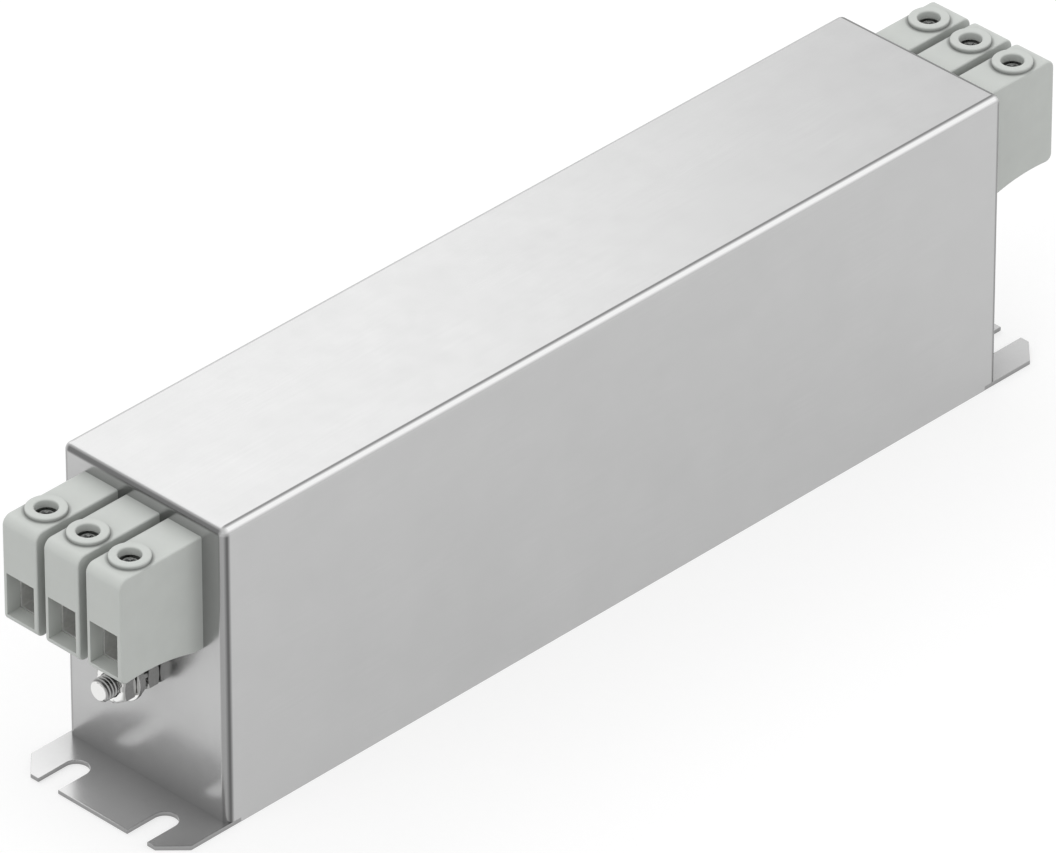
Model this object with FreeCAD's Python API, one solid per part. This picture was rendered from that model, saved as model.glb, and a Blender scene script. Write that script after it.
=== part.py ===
"""Three-phase line filter in a tinned steel housing, with screw terminals and an earth stud at each end.

X runs along the housing, Y across it and Z up. The origin is the centre of the underside of the base
plate. The line end is towards -X and the load end towards +X. Every size is in millimetres.
"""
import FreeCAD, Part

import math
import os

V = FreeCAD.Vector

# Housing cover
HOUSING_LENGTH = 220.0
HOUSING_WIDTH = 45.0
HOUSING_HEIGHT = 70.0
COVER_SHEET = 1.0
COVER_EDGE_RADIUS = 1.8
COVER_STEP_LENGTH = 3.6

# Base plate, with slots that are open at the ends of its flanges
BASE_SHEET = 1.0
FLANGE_LENGTH = 15.0
FLANGE_CHAMFER = 5.0
SLOT_WIDTH = 5.6
SLOT_END_INSET = 7.5
SLOT_SPACING_Y = 25.0
TAB_LENGTH = 24.0
TAB_HEIGHT = 9.0
TAB_PITCH = 75.0
TABS_PER_SIDE = 3

# Terminal housings
PHASES = 3
BLOCK_WIDTH = 9.5
BLOCK_GAP = 2.1
BLOCK_REACH = 22.0
BLOCK_DROP = 4.0
BLOCK_HEIGHT = 24.1
BLOCK_TOP_RADIUS = 3.3
BLOCK_BOTTOM_RADIUS = 1.6
ARCH_RADIUS = 45.0
ARCH_CREST_REACH = 16.0
FOOT_LENGTH = 2.2
COLLAR_RADIUS = 4.25
COLLAR_HEIGHT = 0.9
DRIVER_HOLE_RADIUS = 2.4
ENTRY_SIDE_WALL = 0.95
ENTRY_HEIGHT = 9.7
ENTRY_DEPTH = 3.5
ENTRY_SILL = 1.5
CHAMBER_SIDE_WALL = 0.55
CHAMBER_LENGTH = 7.8
CHAMBER_STEP = 0.3
CHAMBER_ROOF = 0.9
NECK_HEIGHT = 11.0
NECK_REACH = 4.6
NECK_CORNER_CHAMFER = 0.6
BARB_HEIGHT = 0.7
BARB_LENGTH = 2.4

# Clamps inside the terminal housings
SLIDING_GAP = 0.1
CAGE_WALL = 0.6
CAGE_TOP = 3.0
CAGE_HEIGHT = 14.0
BAR_THICKNESS = 1.4
BAR_SIDE_GAP = 0.2
BAR_TOP_GAP = 0.6
BAR_BEND_CUT = 1.0
BAR_LEG_INSET = 10.0
BAR_TAIL_WIDTH = 2.4
SCREW_RADIUS = 2.0
RECESS_WIDTH = 0.8
RECESS_RIM = 0.6
RECESS_DEPTH = 1.4

# Earth studs and what is threaded onto them
STUD_RADIUS = 2.5
STUD_LENGTH = 12.9
STUD_AXIS_HEIGHT = 28.1
STUD_HEAD_ACROSS_FLATS = 7.0
STUD_HEAD_THICKNESS = 1.2
NUT_ACROSS_FLATS = 8.0
NUT_THICKNESS = 3.5
WASHER_RADIUS = 5.0
WASHER_HOLE_RADIUS = 2.65
WASHER_THICKNESS = 1.0
SPRING_WASHER_RADIUS = 4.6
SPRING_WASHER_THICKNESS = 1.0
SPRING_WASHER_SPLIT = 0.8
TOOTH_WASHER_RADIUS = 4.5
TOOTH_WASHER_THICKNESS = 0.8
TOOTH_COUNT = 10
TOOTH_DEPTH = 1.1

# Circuit board and its supports
INSULATOR_THICKNESS = 0.5
POST_SIZE = 6.0
POST_HEIGHT = 6.0
POST_TAIL_SIZE = 3.0
POST_STAKE_HEIGHT = 0.8
POST_INSET_X = 22.0
POST_EDGE_DISTANCE = 5.5
BOARD_THICKNESS = 1.6
BOARD_END_GAP = 6.0
BOARD_SIDE_GAP = 0.5
HOLE_CLEARANCE = 0.1
PIN_PROJECTION = 1.5

# Choke: a coated ring core with one winding of flat wire for each phase
CHOKE_HEADROOM = 5.7
CORE_INNER_RADIUS = 12.6
CORE_WIDTH = 22.4
WIRE_WIDTH = 1.8
WIRE_THICKNESS = 1.25
WIRE_RADIAL_GAP = 0.15
LEG_GAP = 0.3
TURNS = 7
TURN_ANGLE = 13.0
DIVIDER_THICKNESS = 1.6
DIVIDER_HUB_RADIUS = 2.2
SADDLE_THICKNESS = 2.5
SADDLE_LENGTH = 8.0
SADDLE_WIDTH = 18.0
SADDLE_PEG_SIZE = 2.6
SADDLE_PEG_PITCH = 10.0

# Capacitors and resistors on the board
X_CAPACITOR_LENGTH = 31.5
X_CAPACITOR_HEIGHT = 28.0
X_CAPACITOR_GAP = 0.6
X_CAPACITOR_PIN_INSET = 2.0
BOARD_EDGE_MARGIN = 1.4
CAPACITOR_END_GAP = 8.5
Y_CAPACITOR_LENGTH = 13.0
Y_CAPACITOR_WIDTH = 6.0
Y_CAPACITOR_HEIGHT = 12.0
Y_CAPACITOR_PIN_INSET = 1.5
PIN_SIZE = 0.8
RESISTOR_LENGTH = 6.4
RESISTOR_WIDTH = 3.2
RESISTOR_HEIGHT = 0.8
RESISTOR_END_GAP = 2.0

# How near an edge has to lie to a face to be picked as one of its edges
PICK_DISTANCE = 0.01

# Sizes and places worked out from the values above
HALF_LENGTH = HOUSING_LENGTH / 2
HALF_WIDTH = HOUSING_WIDTH / 2
INNER_HALF_WIDTH = HALF_WIDTH - COVER_SHEET
WALL_X = -HALF_LENGTH
WALL_INSIDE_X = WALL_X + COVER_SHEET
FLANGE_END_X = HALF_LENGTH + FLANGE_LENGTH
PLATE_STEP_X = HALF_LENGTH - COVER_STEP_LENGTH
SLOT_X = FLANGE_END_X - SLOT_END_INSET

TERMINAL_PITCH = BLOCK_WIDTH + BLOCK_GAP
ENTRY_WIDTH = BLOCK_WIDTH - 2 * ENTRY_SIDE_WALL
CHAMBER_WIDTH = BLOCK_WIDTH - 2 * CHAMBER_SIDE_WALL
NECK_WIDTH = CHAMBER_WIDTH
CAGE_WIDTH = CHAMBER_WIDTH - 2 * SLIDING_GAP
CAGE_INNER_WIDTH = CAGE_WIDTH - 2 * CAGE_WALL
BAR_WIDTH = CAGE_INNER_WIDTH - 2 * BAR_SIDE_GAP
FRONT_X = WALL_X - BLOCK_REACH
BLOCK_TOP_Z = HOUSING_HEIGHT - BLOCK_DROP
CREST_Z = BLOCK_TOP_Z - BLOCK_HEIGHT
ENTRY_Z = CREST_Z + ENTRY_SILL
CHAMBER_X = FRONT_X + ENTRY_DEPTH
CHAMBER_END_X = CHAMBER_X + CHAMBER_LENGTH
CHAMBER_Z = ENTRY_Z - CHAMBER_STEP
CHAMBER_TOP_Z = BLOCK_TOP_Z - CHAMBER_ROOF
SCREW_X = CHAMBER_X + CHAMBER_LENGTH / 2
CAGE_TOP_Z = CHAMBER_Z + CAGE_HEIGHT
BAR_TOP_Z = CAGE_TOP_Z - CAGE_TOP - BAR_TOP_GAP
BAR_Z = BAR_TOP_Z - BAR_THICKNESS
NECK_X = WALL_X + NECK_REACH
NECK_Z = (BAR_Z + BAR_TOP_Z - NECK_HEIGHT) / 2

BOARD_Z = BASE_SHEET + POST_HEIGHT
BOARD_TOP_Z = BOARD_Z + BOARD_THICKNESS
BOARD_LENGTH = HOUSING_LENGTH - 2 * (COVER_SHEET + BOARD_END_GAP)
BOARD_WIDTH = 2 * (INNER_HALF_WIDTH - BASE_SHEET - BOARD_SIDE_GAP)
INSULATOR_WIDTH = 2 * (INNER_HALF_WIDTH - BASE_SHEET - HOLE_CLEARANCE)
PIN_END_Z = BOARD_Z - PIN_PROJECTION
BAR_LEG_X = WALL_X + BAR_LEG_INSET
POST_X = HALF_LENGTH - POST_INSET_X
POST_Y = BOARD_WIDTH / 2 - POST_EDGE_DISTANCE

SADDLE_Z = BOARD_TOP_Z + SADDLE_THICKNESS
WINDING_TOP_Z = HOUSING_HEIGHT - COVER_SHEET - CHOKE_HEADROOM
CORE_OUTER_RADIUS = (WINDING_TOP_Z - SADDLE_Z - WIRE_THICKNESS - WIRE_RADIAL_GAP) / 2
CHOKE_Z = SADDLE_Z + CORE_OUTER_RADIUS
CHOKE_CENTRE = V(0, 0, CHOKE_Z)
WIRE_OUTER_RADIUS = CORE_OUTER_RADIUS + WIRE_RADIAL_GAP + WIRE_THICKNESS / 2
WIRE_INNER_RADIUS = CORE_INNER_RADIUS - WIRE_RADIAL_GAP - WIRE_THICKNESS / 2
WIRE_FACE_Y = CORE_WIDTH / 2 + WIRE_THICKNESS / 2
LEG_Y = -(WIRE_FACE_Y + WIRE_THICKNESS + LEG_GAP)

X_CAPACITOR_END_X = POST_X - Y_CAPACITOR_WIDTH / 2 - CAPACITOR_END_GAP
X_CAPACITOR_X = X_CAPACITOR_END_X - X_CAPACITOR_LENGTH / 2
X_CAPACITOR_ROOM = BOARD_WIDTH - 2 * BOARD_EDGE_MARGIN
X_CAPACITOR_PITCH = (X_CAPACITOR_ROOM + X_CAPACITOR_GAP) / PHASES
X_CAPACITOR_WIDTH = X_CAPACITOR_PITCH - X_CAPACITOR_GAP
RESISTOR_X = -(X_CAPACITOR_END_X - X_CAPACITOR_LENGTH - RESISTOR_END_GAP - RESISTOR_WIDTH / 2)


def box(x, y, z):
    """A block between the two values given for each axis."""
    return Part.makeBox(x[1] - x[0], y[1] - y[0], z[1] - z[0], V(x[0], y[0], z[0]))


def about(centre, size):
    """The two values that lie half of size to each side of centre."""
    return (centre - size / 2, centre + size / 2)


def cylinder_x(x, radius, z=STUD_AXIS_HEIGHT):
    """A cylinder along X between two values, over the middle of the housing."""
    return Part.makeCylinder(radius, x[1] - x[0], V(x[0], 0, z), V(1, 0, 0))


def cylinder_z(x, y, z, radius):
    """An upright cylinder between two heights."""
    return Part.makeCylinder(radius, z[1] - z[0], V(x, y, z[0]))


def joined(shapes):
    """One solid from shapes that meet."""
    return shapes[0].multiFuse(shapes[1:]).removeSplitter()


def extruded(edges, direction):
    """A solid from a closed outline of edges."""
    return Part.Face(Part.Wire(edges)).extrude(direction)


def polygon(points, direction):
    """A solid from the corners of a closed outline."""
    return Part.Face(Part.makePolygon(points + points[:1])).extrude(direction)


def arc_between(start, middle, end):
    """The circular edge through three points."""
    return Part.Arc(start, middle, end).toShape()


def line(start, end):
    """The straight edge between two points."""
    return Part.LineSegment(start, end).toShape()


def quarter(centre, start, end):
    """The quarter circle about centre from start to end."""
    outward = (start - centre) + (end - centre)
    middle = centre + outward * ((start - centre).Length / outward.Length)
    return arc_between(start, middle, end)


def edges_where(shape, test):
    """The edges of a shape whose bounding box passes a test."""
    return [edge for edge in shape.Edges if test(edge.BoundBox)]


def phase_y(number, pitch=TERMINAL_PITCH):
    """The place across the housing of a phase. Phase 1 is the one furthest towards +Y."""
    return ((PHASES + 1) / 2 - number) * pitch


def other_end(shape):
    """The same shape at the load end, turned half round about the upright axis."""
    turned = shape.copy()
    turned.rotate(V(0, 0, 0), V(0, 0, 1), 180)
    return turned


def moved(shape, x=0.0, y=0.0, z=0.0):
    """A copy of a shape, moved."""
    return shape.translated(V(x, y, z))


def neck_opening():
    """The opening in the end wall that a terminal housing's neck fits, with its corners cut off."""
    opening = box(
        (WALL_X - COVER_SHEET, WALL_INSIDE_X + COVER_SHEET),
        about(0, NECK_WIDTH + 2 * SLIDING_GAP),
        (NECK_Z - SLIDING_GAP, NECK_Z + NECK_HEIGHT + SLIDING_GAP),
    )
    along = edges_where(opening, lambda b: b.XLength > PICK_DISTANCE)
    return opening.makeChamfer(NECK_CORNER_CHAMFER, along)


def cover():
    """Five-sided folded cover. Its long sides lap the plate's edges, and its ends stand on the plate."""
    outside = box(about(0, HOUSING_LENGTH), about(0, HOUSING_WIDTH), (0, HOUSING_HEIGHT))
    outside = outside.makeFillet(COVER_EDGE_RADIUS, edges_where(outside, lambda b: b.ZMax > PICK_DISTANCE))
    inside = box(
        about(0, HOUSING_LENGTH - 2 * COVER_SHEET),
        about(0, 2 * INNER_HALF_WIDTH),
        (0, HOUSING_HEIGHT - COVER_SHEET),
    )
    bend = COVER_EDGE_RADIUS - COVER_SHEET
    if bend > 0:
        flat = bend * (2 - math.sqrt(2))
        inside = inside.makeChamfer(flat, edges_where(inside, lambda b: b.ZMax > PICK_DISTANCE))
    steps = [
        box((PLATE_STEP_X, HALF_LENGTH), about(0, HOUSING_WIDTH), (0, BASE_SHEET)),
        box((-HALF_LENGTH, -PLATE_STEP_X), about(0, HOUSING_WIDTH), (0, BASE_SHEET)),
    ]
    openings = [moved(neck_opening(), y=phase_y(number)) for number in range(1, PHASES + 1)]
    openings.append(cylinder_x((WALL_X, WALL_INSIDE_X), STUD_RADIUS))
    return outside.cut([inside] + steps + openings + [other_end(opening) for opening in openings])


def plate_tab(x):
    """A tab bent up from the plate's edge at +Y, against the inside of the cover."""
    return box(about(x, TAB_LENGTH), (INNER_HALF_WIDTH - BASE_SHEET, INNER_HALF_WIDTH), (0, TAB_HEIGHT))


def flange_slot():
    """A slot open at the flange's end, with a round bottom."""
    sides = box((SLOT_X, FLANGE_END_X), about(SLOT_SPACING_Y / 2, SLOT_WIDTH), (0, BASE_SHEET))
    bottom = cylinder_z(SLOT_X, SLOT_SPACING_Y / 2, (0, BASE_SHEET), SLOT_WIDTH / 2)
    return sides.fuse(bottom)


def mirrored_ends(shape):
    """A shape at +X and +Y, with its mirror images at the other three corners."""
    across = shape.mirror(V(0, 0, 0), V(0, 1, 0))
    return [shape, across, other_end(shape), other_end(across)]


def post_places():
    """Where the board's four posts stand."""
    return [(x, y) for x in (-POST_X, POST_X) for y in (-POST_Y, POST_Y)]


def square_post(x, y, size, z):
    """An upright square bar, or the hole for one."""
    return box(about(x, size), about(y, size), z)


def base_plate():
    """Flat plate with slotted flanges. Between them it is narrower, and tabs bent up hold the cover."""
    flanges = box(about(0, 2 * FLANGE_END_X), about(0, HOUSING_WIDTH), (0, BASE_SHEET))
    corners = edges_where(flanges, lambda b: b.ZLength > PICK_DISTANCE)
    flanges = flanges.makeChamfer(FLANGE_CHAMFER, corners)
    laps = [
        box(about(0, 2 * PLATE_STEP_X), (INNER_HALF_WIDTH, HALF_WIDTH), (0, BASE_SHEET)),
        box(about(0, 2 * PLATE_STEP_X), (-HALF_WIDTH, -INNER_HALF_WIDTH), (0, BASE_SHEET)),
    ]
    tails = [square_post(x, y, POST_TAIL_SIZE, (0, BASE_SHEET)) for x, y in post_places()]
    places = [(index - (TABS_PER_SIDE - 1) / 2) * TAB_PITCH for index in range(TABS_PER_SIDE)]
    tabs = [plate_tab(x) for x in places]
    plate = flanges.cut(laps + tails + mirrored_ends(flange_slot()))
    return joined([plate] + tabs + [other_end(tab) for tab in tabs])


def arch_z(x):
    """The height of the arched underside of a terminal housing."""
    crest_x = WALL_X - ARCH_CREST_REACH
    return CREST_Z - ARCH_RADIUS + math.sqrt(ARCH_RADIUS**2 - (x - crest_x) ** 2)


def block_side():
    """The side outline of a terminal housing: rounded nose, arched underside and a flat foot at the wall."""
    y = -BLOCK_WIDTH / 2
    foot_x = WALL_X - FOOT_LENGTH
    foot_z = arch_z(foot_x)
    nose_x = FRONT_X + BLOCK_BOTTOM_RADIUS
    nose_z = arch_z(nose_x)
    top_start = V(FRONT_X + BLOCK_TOP_RADIUS, y, BLOCK_TOP_Z)
    top_end = V(FRONT_X, y, BLOCK_TOP_Z - BLOCK_TOP_RADIUS)
    nose_start = V(FRONT_X, y, nose_z + BLOCK_BOTTOM_RADIUS)
    nose_end = V(nose_x, y, nose_z)
    arch_middle = V((nose_x + foot_x) / 2, y, arch_z((nose_x + foot_x) / 2))
    foot = V(foot_x, y, foot_z)
    return [
        line(V(WALL_X, y, BLOCK_TOP_Z), top_start),
        quarter(V(top_start.x, y, top_end.z), top_start, top_end),
        line(top_end, nose_start),
        quarter(V(nose_end.x, y, nose_start.z), nose_start, nose_end),
        arc_between(nose_end, arch_middle, foot),
        line(foot, V(WALL_X, y, foot_z)),
        line(V(WALL_X, y, foot_z), V(WALL_X, y, BLOCK_TOP_Z)),
    ]


def collar():
    """The raised ring round the driver hole."""
    return cylinder_z(SCREW_X, 0, (BLOCK_TOP_Z, BLOCK_TOP_Z + COLLAR_HEIGHT), COLLAR_RADIUS)


def neck():
    """The part that goes through the wall, with a barb above and one below that snap behind it."""
    y = about(0, NECK_WIDTH)
    sleeve = box((WALL_X, NECK_X), y, (NECK_Z, NECK_Z + NECK_HEIGHT))
    along = edges_where(sleeve, lambda b: b.XLength > PICK_DISTANCE)
    sleeve = sleeve.makeChamfer(NECK_CORNER_CHAMFER, along)
    barb_x = WALL_INSIDE_X + SLIDING_GAP
    width = NECK_WIDTH - 2 * NECK_CORNER_CHAMFER
    root = NECK_Z + BARB_HEIGHT
    lower = [
        V(barb_x, -width / 2, root),
        V(barb_x, -width / 2, NECK_Z - BARB_HEIGHT),
        V(barb_x + BARB_LENGTH, -width / 2, NECK_Z),
        V(barb_x + BARB_LENGTH, -width / 2, root),
    ]
    middle = NECK_Z + NECK_HEIGHT / 2
    upper = [V(p.x, p.y, 2 * middle - p.z) for p in lower]
    barbs = [polygon(lower, V(0, width, 0)), polygon(upper, V(0, width, 0))]
    return joined([sleeve] + barbs)


def terminal_housing():
    """Moulded terminal housing of the middle phase at the line end, in one piece."""
    block = extruded(block_side(), V(0, BLOCK_WIDTH, 0))
    body = joined([block, collar(), neck()])
    entry = box(
        (FRONT_X, CHAMBER_X), about(0, ENTRY_WIDTH), (ENTRY_Z, ENTRY_Z + ENTRY_HEIGHT)
    )
    chamber = box(
        (CHAMBER_X, CHAMBER_END_X), about(0, CHAMBER_WIDTH), (CHAMBER_Z, CHAMBER_TOP_Z)
    )
    driver_hole = cylinder_z(SCREW_X, 0, (CHAMBER_TOP_Z, BLOCK_TOP_Z + COLLAR_HEIGHT), DRIVER_HOLE_RADIUS)
    channel = box(
        (CHAMBER_END_X, NECK_X),
        about(0, BAR_WIDTH + 2 * SLIDING_GAP),
        (BAR_Z - SLIDING_GAP, BAR_TOP_Z + SLIDING_GAP),
    )
    return body.cut([entry, chamber, driver_hole, channel])


def clamp_cage():
    """The cage that the screw draws up, pressing a wire against the bar that runs through it."""
    x = (CHAMBER_X + SLIDING_GAP, CHAMBER_END_X - SLIDING_GAP)
    outside = box(x, about(0, CAGE_WIDTH), (CHAMBER_Z, CAGE_TOP_Z))
    inside = box(x, about(0, CAGE_INNER_WIDTH), (CHAMBER_Z + CAGE_WALL, CAGE_TOP_Z - CAGE_TOP))
    thread = cylinder_z(SCREW_X, 0, (CAGE_TOP_Z - CAGE_TOP, CAGE_TOP_Z), SCREW_RADIUS)
    return outside.cut([inside, thread])


def current_bar():
    """Flat bar from the clamp through the wall, bent down to the board, where its tail is soldered."""
    front_x = CHAMBER_X + 2 * SLIDING_GAP
    leg_x = BAR_LEG_X + BAR_THICKNESS
    y = -BAR_WIDTH / 2
    outline = [
        V(front_x, y, BAR_TOP_Z),
        V(leg_x - BAR_BEND_CUT, y, BAR_TOP_Z),
        V(leg_x, y, BAR_TOP_Z - BAR_BEND_CUT),
        V(leg_x, y, BOARD_TOP_Z),
        V(BAR_LEG_X, y, BOARD_TOP_Z),
        V(BAR_LEG_X, y, BAR_Z),
        V(front_x, y, BAR_Z),
    ]
    strip = polygon(outline, V(0, BAR_WIDTH, 0))
    tail = box((BAR_LEG_X, leg_x), about(0, BAR_TAIL_WIDTH), (PIN_END_Z, BOARD_TOP_Z))
    return joined([strip, tail])


def clamp_screw():
    """The clamp's headless screw, with a cross recess. It runs through the cage's top onto the bar."""
    top = CHAMBER_TOP_Z - SLIDING_GAP
    depth = (top - RECESS_DEPTH, top)
    reach = 2 * (SCREW_RADIUS - RECESS_RIM)
    arm_x = box(about(SCREW_X, reach), about(0, RECESS_WIDTH), depth)
    arm_y = box(about(SCREW_X, RECESS_WIDTH), about(0, reach), depth)
    return cylinder_z(SCREW_X, 0, (BAR_TOP_Z, top), SCREW_RADIUS).cut([arm_x, arm_y])


def ground_stack():
    """Where each piece on the line end's stud starts and ends, from the wall outwards."""
    order = [
        ("inner_nut", NUT_THICKNESS),
        ("tooth_washer", TOOTH_WASHER_THICKNESS),
        ("spring_washer", SPRING_WASHER_THICKNESS),
        ("flat_washer", WASHER_THICKNESS),
        ("outer_nut", NUT_THICKNESS),
    ]
    places = {}
    x = WALL_X
    for name, thickness in order:
        places[name] = (x - thickness, x)
        x -= thickness
    return places


def hexagon(x, across_flats):
    """A six-sided bar along X, on the stud's axis, with two of its flats upright."""
    corner = across_flats / math.sqrt(3)
    turns = [math.radians(60 * step) for step in range(6)]
    points = [V(x[0], corner * math.sin(t), STUD_AXIS_HEIGHT + corner * math.cos(t)) for t in turns]
    return polygon(points, V(x[1] - x[0], 0, 0))


def ground_stud():
    """Stud pressed into the end wall, with its six-sided head inside the cover."""
    shank = cylinder_x((WALL_X - STUD_LENGTH, WALL_INSIDE_X), STUD_RADIUS)
    head = hexagon((WALL_INSIDE_X, WALL_INSIDE_X + STUD_HEAD_THICKNESS), STUD_HEAD_ACROSS_FLATS)
    return joined([shank, head])


def ground_nut(x):
    """A nut on the stud."""
    return hexagon(x, NUT_ACROSS_FLATS).cut(cylinder_x(x, STUD_RADIUS))


def washer(x, radius=WASHER_RADIUS):
    """A plain ring along X."""
    return cylinder_x(x, radius).cut(cylinder_x(x, WASHER_HOLE_RADIUS))


def spring_washer(x):
    """A ring with a slanting split at the top, pressed flat."""
    lean = SPRING_WASHER_SPLIT
    reach = SPRING_WASHER_RADIUS
    split = [
        V(x[0], -lean, STUD_AXIS_HEIGHT),
        V(x[0], 0, STUD_AXIS_HEIGHT),
        V(x[1], lean, STUD_AXIS_HEIGHT),
        V(x[1], 0, STUD_AXIS_HEIGHT),
    ]
    return washer(x, SPRING_WASHER_RADIUS).cut(polygon(split, V(0, 0, reach)))


def tooth_washer(x):
    """A ring with pointed teeth round its rim."""
    points = []
    for step in range(2 * TOOTH_COUNT):
        turn = math.pi * step / TOOTH_COUNT
        radius = TOOTH_WASHER_RADIUS - TOOTH_DEPTH * (step % 2)
        points.append(V(x[0], radius * math.sin(turn), STUD_AXIS_HEIGHT + radius * math.cos(turn)))
    return polygon(points, V(x[1] - x[0], 0, 0)).cut(cylinder_x(x, WASHER_HOLE_RADIUS))


def insulating_sheet():
    """Sheet between the plate and the board, with holes for the posts."""
    z = (BASE_SHEET, BASE_SHEET + INSULATOR_THICKNESS)
    hole = POST_SIZE + 2 * HOLE_CLEARANCE
    sheet = box(about(0, BOARD_LENGTH), about(0, INSULATOR_WIDTH), z)
    return sheet.cut([square_post(x, y, hole, z) for x, y in post_places()])


def board_post(x, y):
    """Square steel post under the board, staked into the plate and through the board."""
    body = square_post(x, y, POST_SIZE, (BASE_SHEET, BOARD_Z))
    tail = square_post(x, y, POST_TAIL_SIZE, (0, BOARD_TOP_Z + POST_STAKE_HEIGHT))
    return joined([body, tail])


def at_choke(shape, angle):
    """A shape drawn to the right of the choke's centre, turned about it by an angle in degrees."""
    turned = shape.copy()
    turned.rotate(CHOKE_CENTRE, V(0, -1, 0), angle)
    return turned


def choke_cylinder(radius):
    """A cylinder about the choke's axis, as long as the core is wide."""
    return Part.makeCylinder(radius, CORE_WIDTH, V(0, -CORE_WIDTH / 2, CHOKE_Z), V(0, 1, 0))


def choke_core():
    """Coated ferrite ring core."""
    return choke_cylinder(CORE_OUTER_RADIUS).cut(choke_cylinder(CORE_INNER_RADIUS))


def wire_along_y(radius, angle, y):
    """A straight length of flat wire along the choke's axis, at a radius and an angle."""
    wire = box(about(radius, WIRE_THICKNESS), y, about(CHOKE_Z, WIRE_WIDTH))
    return at_choke(wire, angle)


def choke_point(radius, side, angle, y):
    """A point at a radius and a distance to the side of it, turned about the choke's axis by an angle."""
    turn = math.radians(angle)
    x = radius * math.cos(turn) - side * math.sin(turn)
    z = radius * math.sin(turn) + side * math.cos(turn)
    return V(x, y, CHOKE_Z + z)


def wire_across(start_angle, end_angle, y):
    """A length of wire over one face of the core, from the bore to the rim, where it may slant."""
    near_bore = WIRE_INNER_RADIUS - WIRE_THICKNESS / 2
    near_rim = WIRE_OUTER_RADIUS + WIRE_THICKNESS / 2
    side = WIRE_WIDTH / 2
    start_y = y - WIRE_THICKNESS / 2
    outline = [
        choke_point(near_bore, -side, start_angle, start_y),
        choke_point(near_bore + WIRE_THICKNESS, -side, start_angle, start_y),
        choke_point(near_rim, -side, end_angle, start_y),
        choke_point(near_rim, side, end_angle, start_y),
        choke_point(near_rim - WIRE_THICKNESS, side, end_angle, start_y),
        choke_point(near_bore, side, start_angle, start_y),
    ]
    return polygon(outline, V(0, WIRE_THICKNESS, 0))


def wire_leg(angle, start_y):
    """The end of a winding: out past the turns, then straight down through the board."""
    place = choke_point(WIRE_OUTER_RADIUS, 0, angle, LEG_Y)
    out = wire_along_y(WIRE_OUTER_RADIUS, angle, (LEG_Y - WIRE_THICKNESS / 2, start_y))
    down = box(about(place.x, WIRE_WIDTH), about(LEG_Y, WIRE_THICKNESS), (PIN_END_Z, place.z))
    return [out, down]


def winding_angles(number):
    """The angles at which the turns of a winding start, ending with the angle of its second leg."""
    middle = 90 + 360 / PHASES * (number - 1)
    first = middle - TURNS * TURN_ANGLE / 2
    return [first + turn * TURN_ANGLE for turn in range(TURNS + 1)]


def choke_winding(number):
    """One winding of flat wire. Each turn slants over to the next across the core's front face."""
    faces = (-WIRE_FACE_Y - WIRE_THICKNESS / 2, WIRE_FACE_Y + WIRE_THICKNESS / 2)
    angles = winding_angles(number)
    pieces = []
    for turn in range(TURNS):
        pieces.append(wire_along_y(WIRE_OUTER_RADIUS, angles[turn], faces))
        pieces.append(wire_across(angles[turn], angles[turn], WIRE_FACE_Y))
        pieces.append(wire_along_y(WIRE_INNER_RADIUS, angles[turn], faces))
        pieces.append(wire_across(angles[turn], angles[turn + 1], -WIRE_FACE_Y))
    pieces += wire_leg(angles[0], faces[0])
    pieces += wire_leg(angles[-1], faces[0] + WIRE_THICKNESS)
    return joined(pieces)


def choke_divider():
    """Three-armed divider in the core's bore, which keeps the windings apart."""
    y = about(0, CORE_WIDTH)
    arm = box((0, CORE_OUTER_RADIUS), y, about(CHOKE_Z, DIVIDER_THICKNESS))
    arms = [at_choke(arm, 90 + 360 / PHASES * (number + 0.5)) for number in range(PHASES)]
    return joined([choke_cylinder(DIVIDER_HUB_RADIUS)] + arms).common(choke_cylinder(CORE_INNER_RADIUS))


def saddle_peg_places():
    """Where the saddle's two pegs go through the board."""
    return [-SADDLE_PEG_PITCH / 2, SADDLE_PEG_PITCH / 2]


def choke_saddle():
    """Saddle that the choke stands in, with two pegs through the board."""
    body = box(about(0, SADDLE_LENGTH), about(0, SADDLE_WIDTH), (BOARD_TOP_Z, CHOKE_Z))
    z = (PIN_END_Z, BOARD_TOP_Z)
    pegs = [square_post(0, y, SADDLE_PEG_SIZE, z) for y in saddle_peg_places()]
    return joined([body.cut(choke_cylinder(CORE_OUTER_RADIUS))] + pegs)


def boxed_capacitor(x, y, size, pins):
    """A film capacitor in a plastic box that sits on the board, with two pins through it."""
    body = box(about(x, size[0]), about(y, size[1]), (BOARD_TOP_Z, BOARD_TOP_Z + size[2]))
    legs = [square_post(px, py, PIN_SIZE, (PIN_END_Z, BOARD_TOP_Z)) for px, py in pins]
    return joined([body] + legs)


def x_capacitor_pins(end, number):
    """Where the pins of a capacitor between phases go through the board."""
    reach = X_CAPACITOR_LENGTH / 2 - X_CAPACITOR_PIN_INSET
    y = phase_y(number, X_CAPACITOR_PITCH)
    return [(end * X_CAPACITOR_X - reach, y), (end * X_CAPACITOR_X + reach, y)]


def x_capacitor(end, number):
    """A capacitor between phases, at the line end or the load end of the board."""
    size = (X_CAPACITOR_LENGTH, X_CAPACITOR_WIDTH, X_CAPACITOR_HEIGHT)
    pins = x_capacitor_pins(end, number)
    y = phase_y(number, X_CAPACITOR_PITCH)
    return boxed_capacitor(end * X_CAPACITOR_X, y, size, pins)


def y_capacitor_pins(end):
    """Where the pins of a capacitor to earth go through the board."""
    reach = Y_CAPACITOR_LENGTH / 2 - Y_CAPACITOR_PIN_INSET
    return [(end * POST_X, -reach), (end * POST_X, reach)]


def y_capacitor(end):
    """A capacitor to earth, across the board between two posts."""
    size = (Y_CAPACITOR_WIDTH, Y_CAPACITOR_LENGTH, Y_CAPACITOR_HEIGHT)
    return boxed_capacitor(end * POST_X, 0, size, y_capacitor_pins(end))


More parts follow.
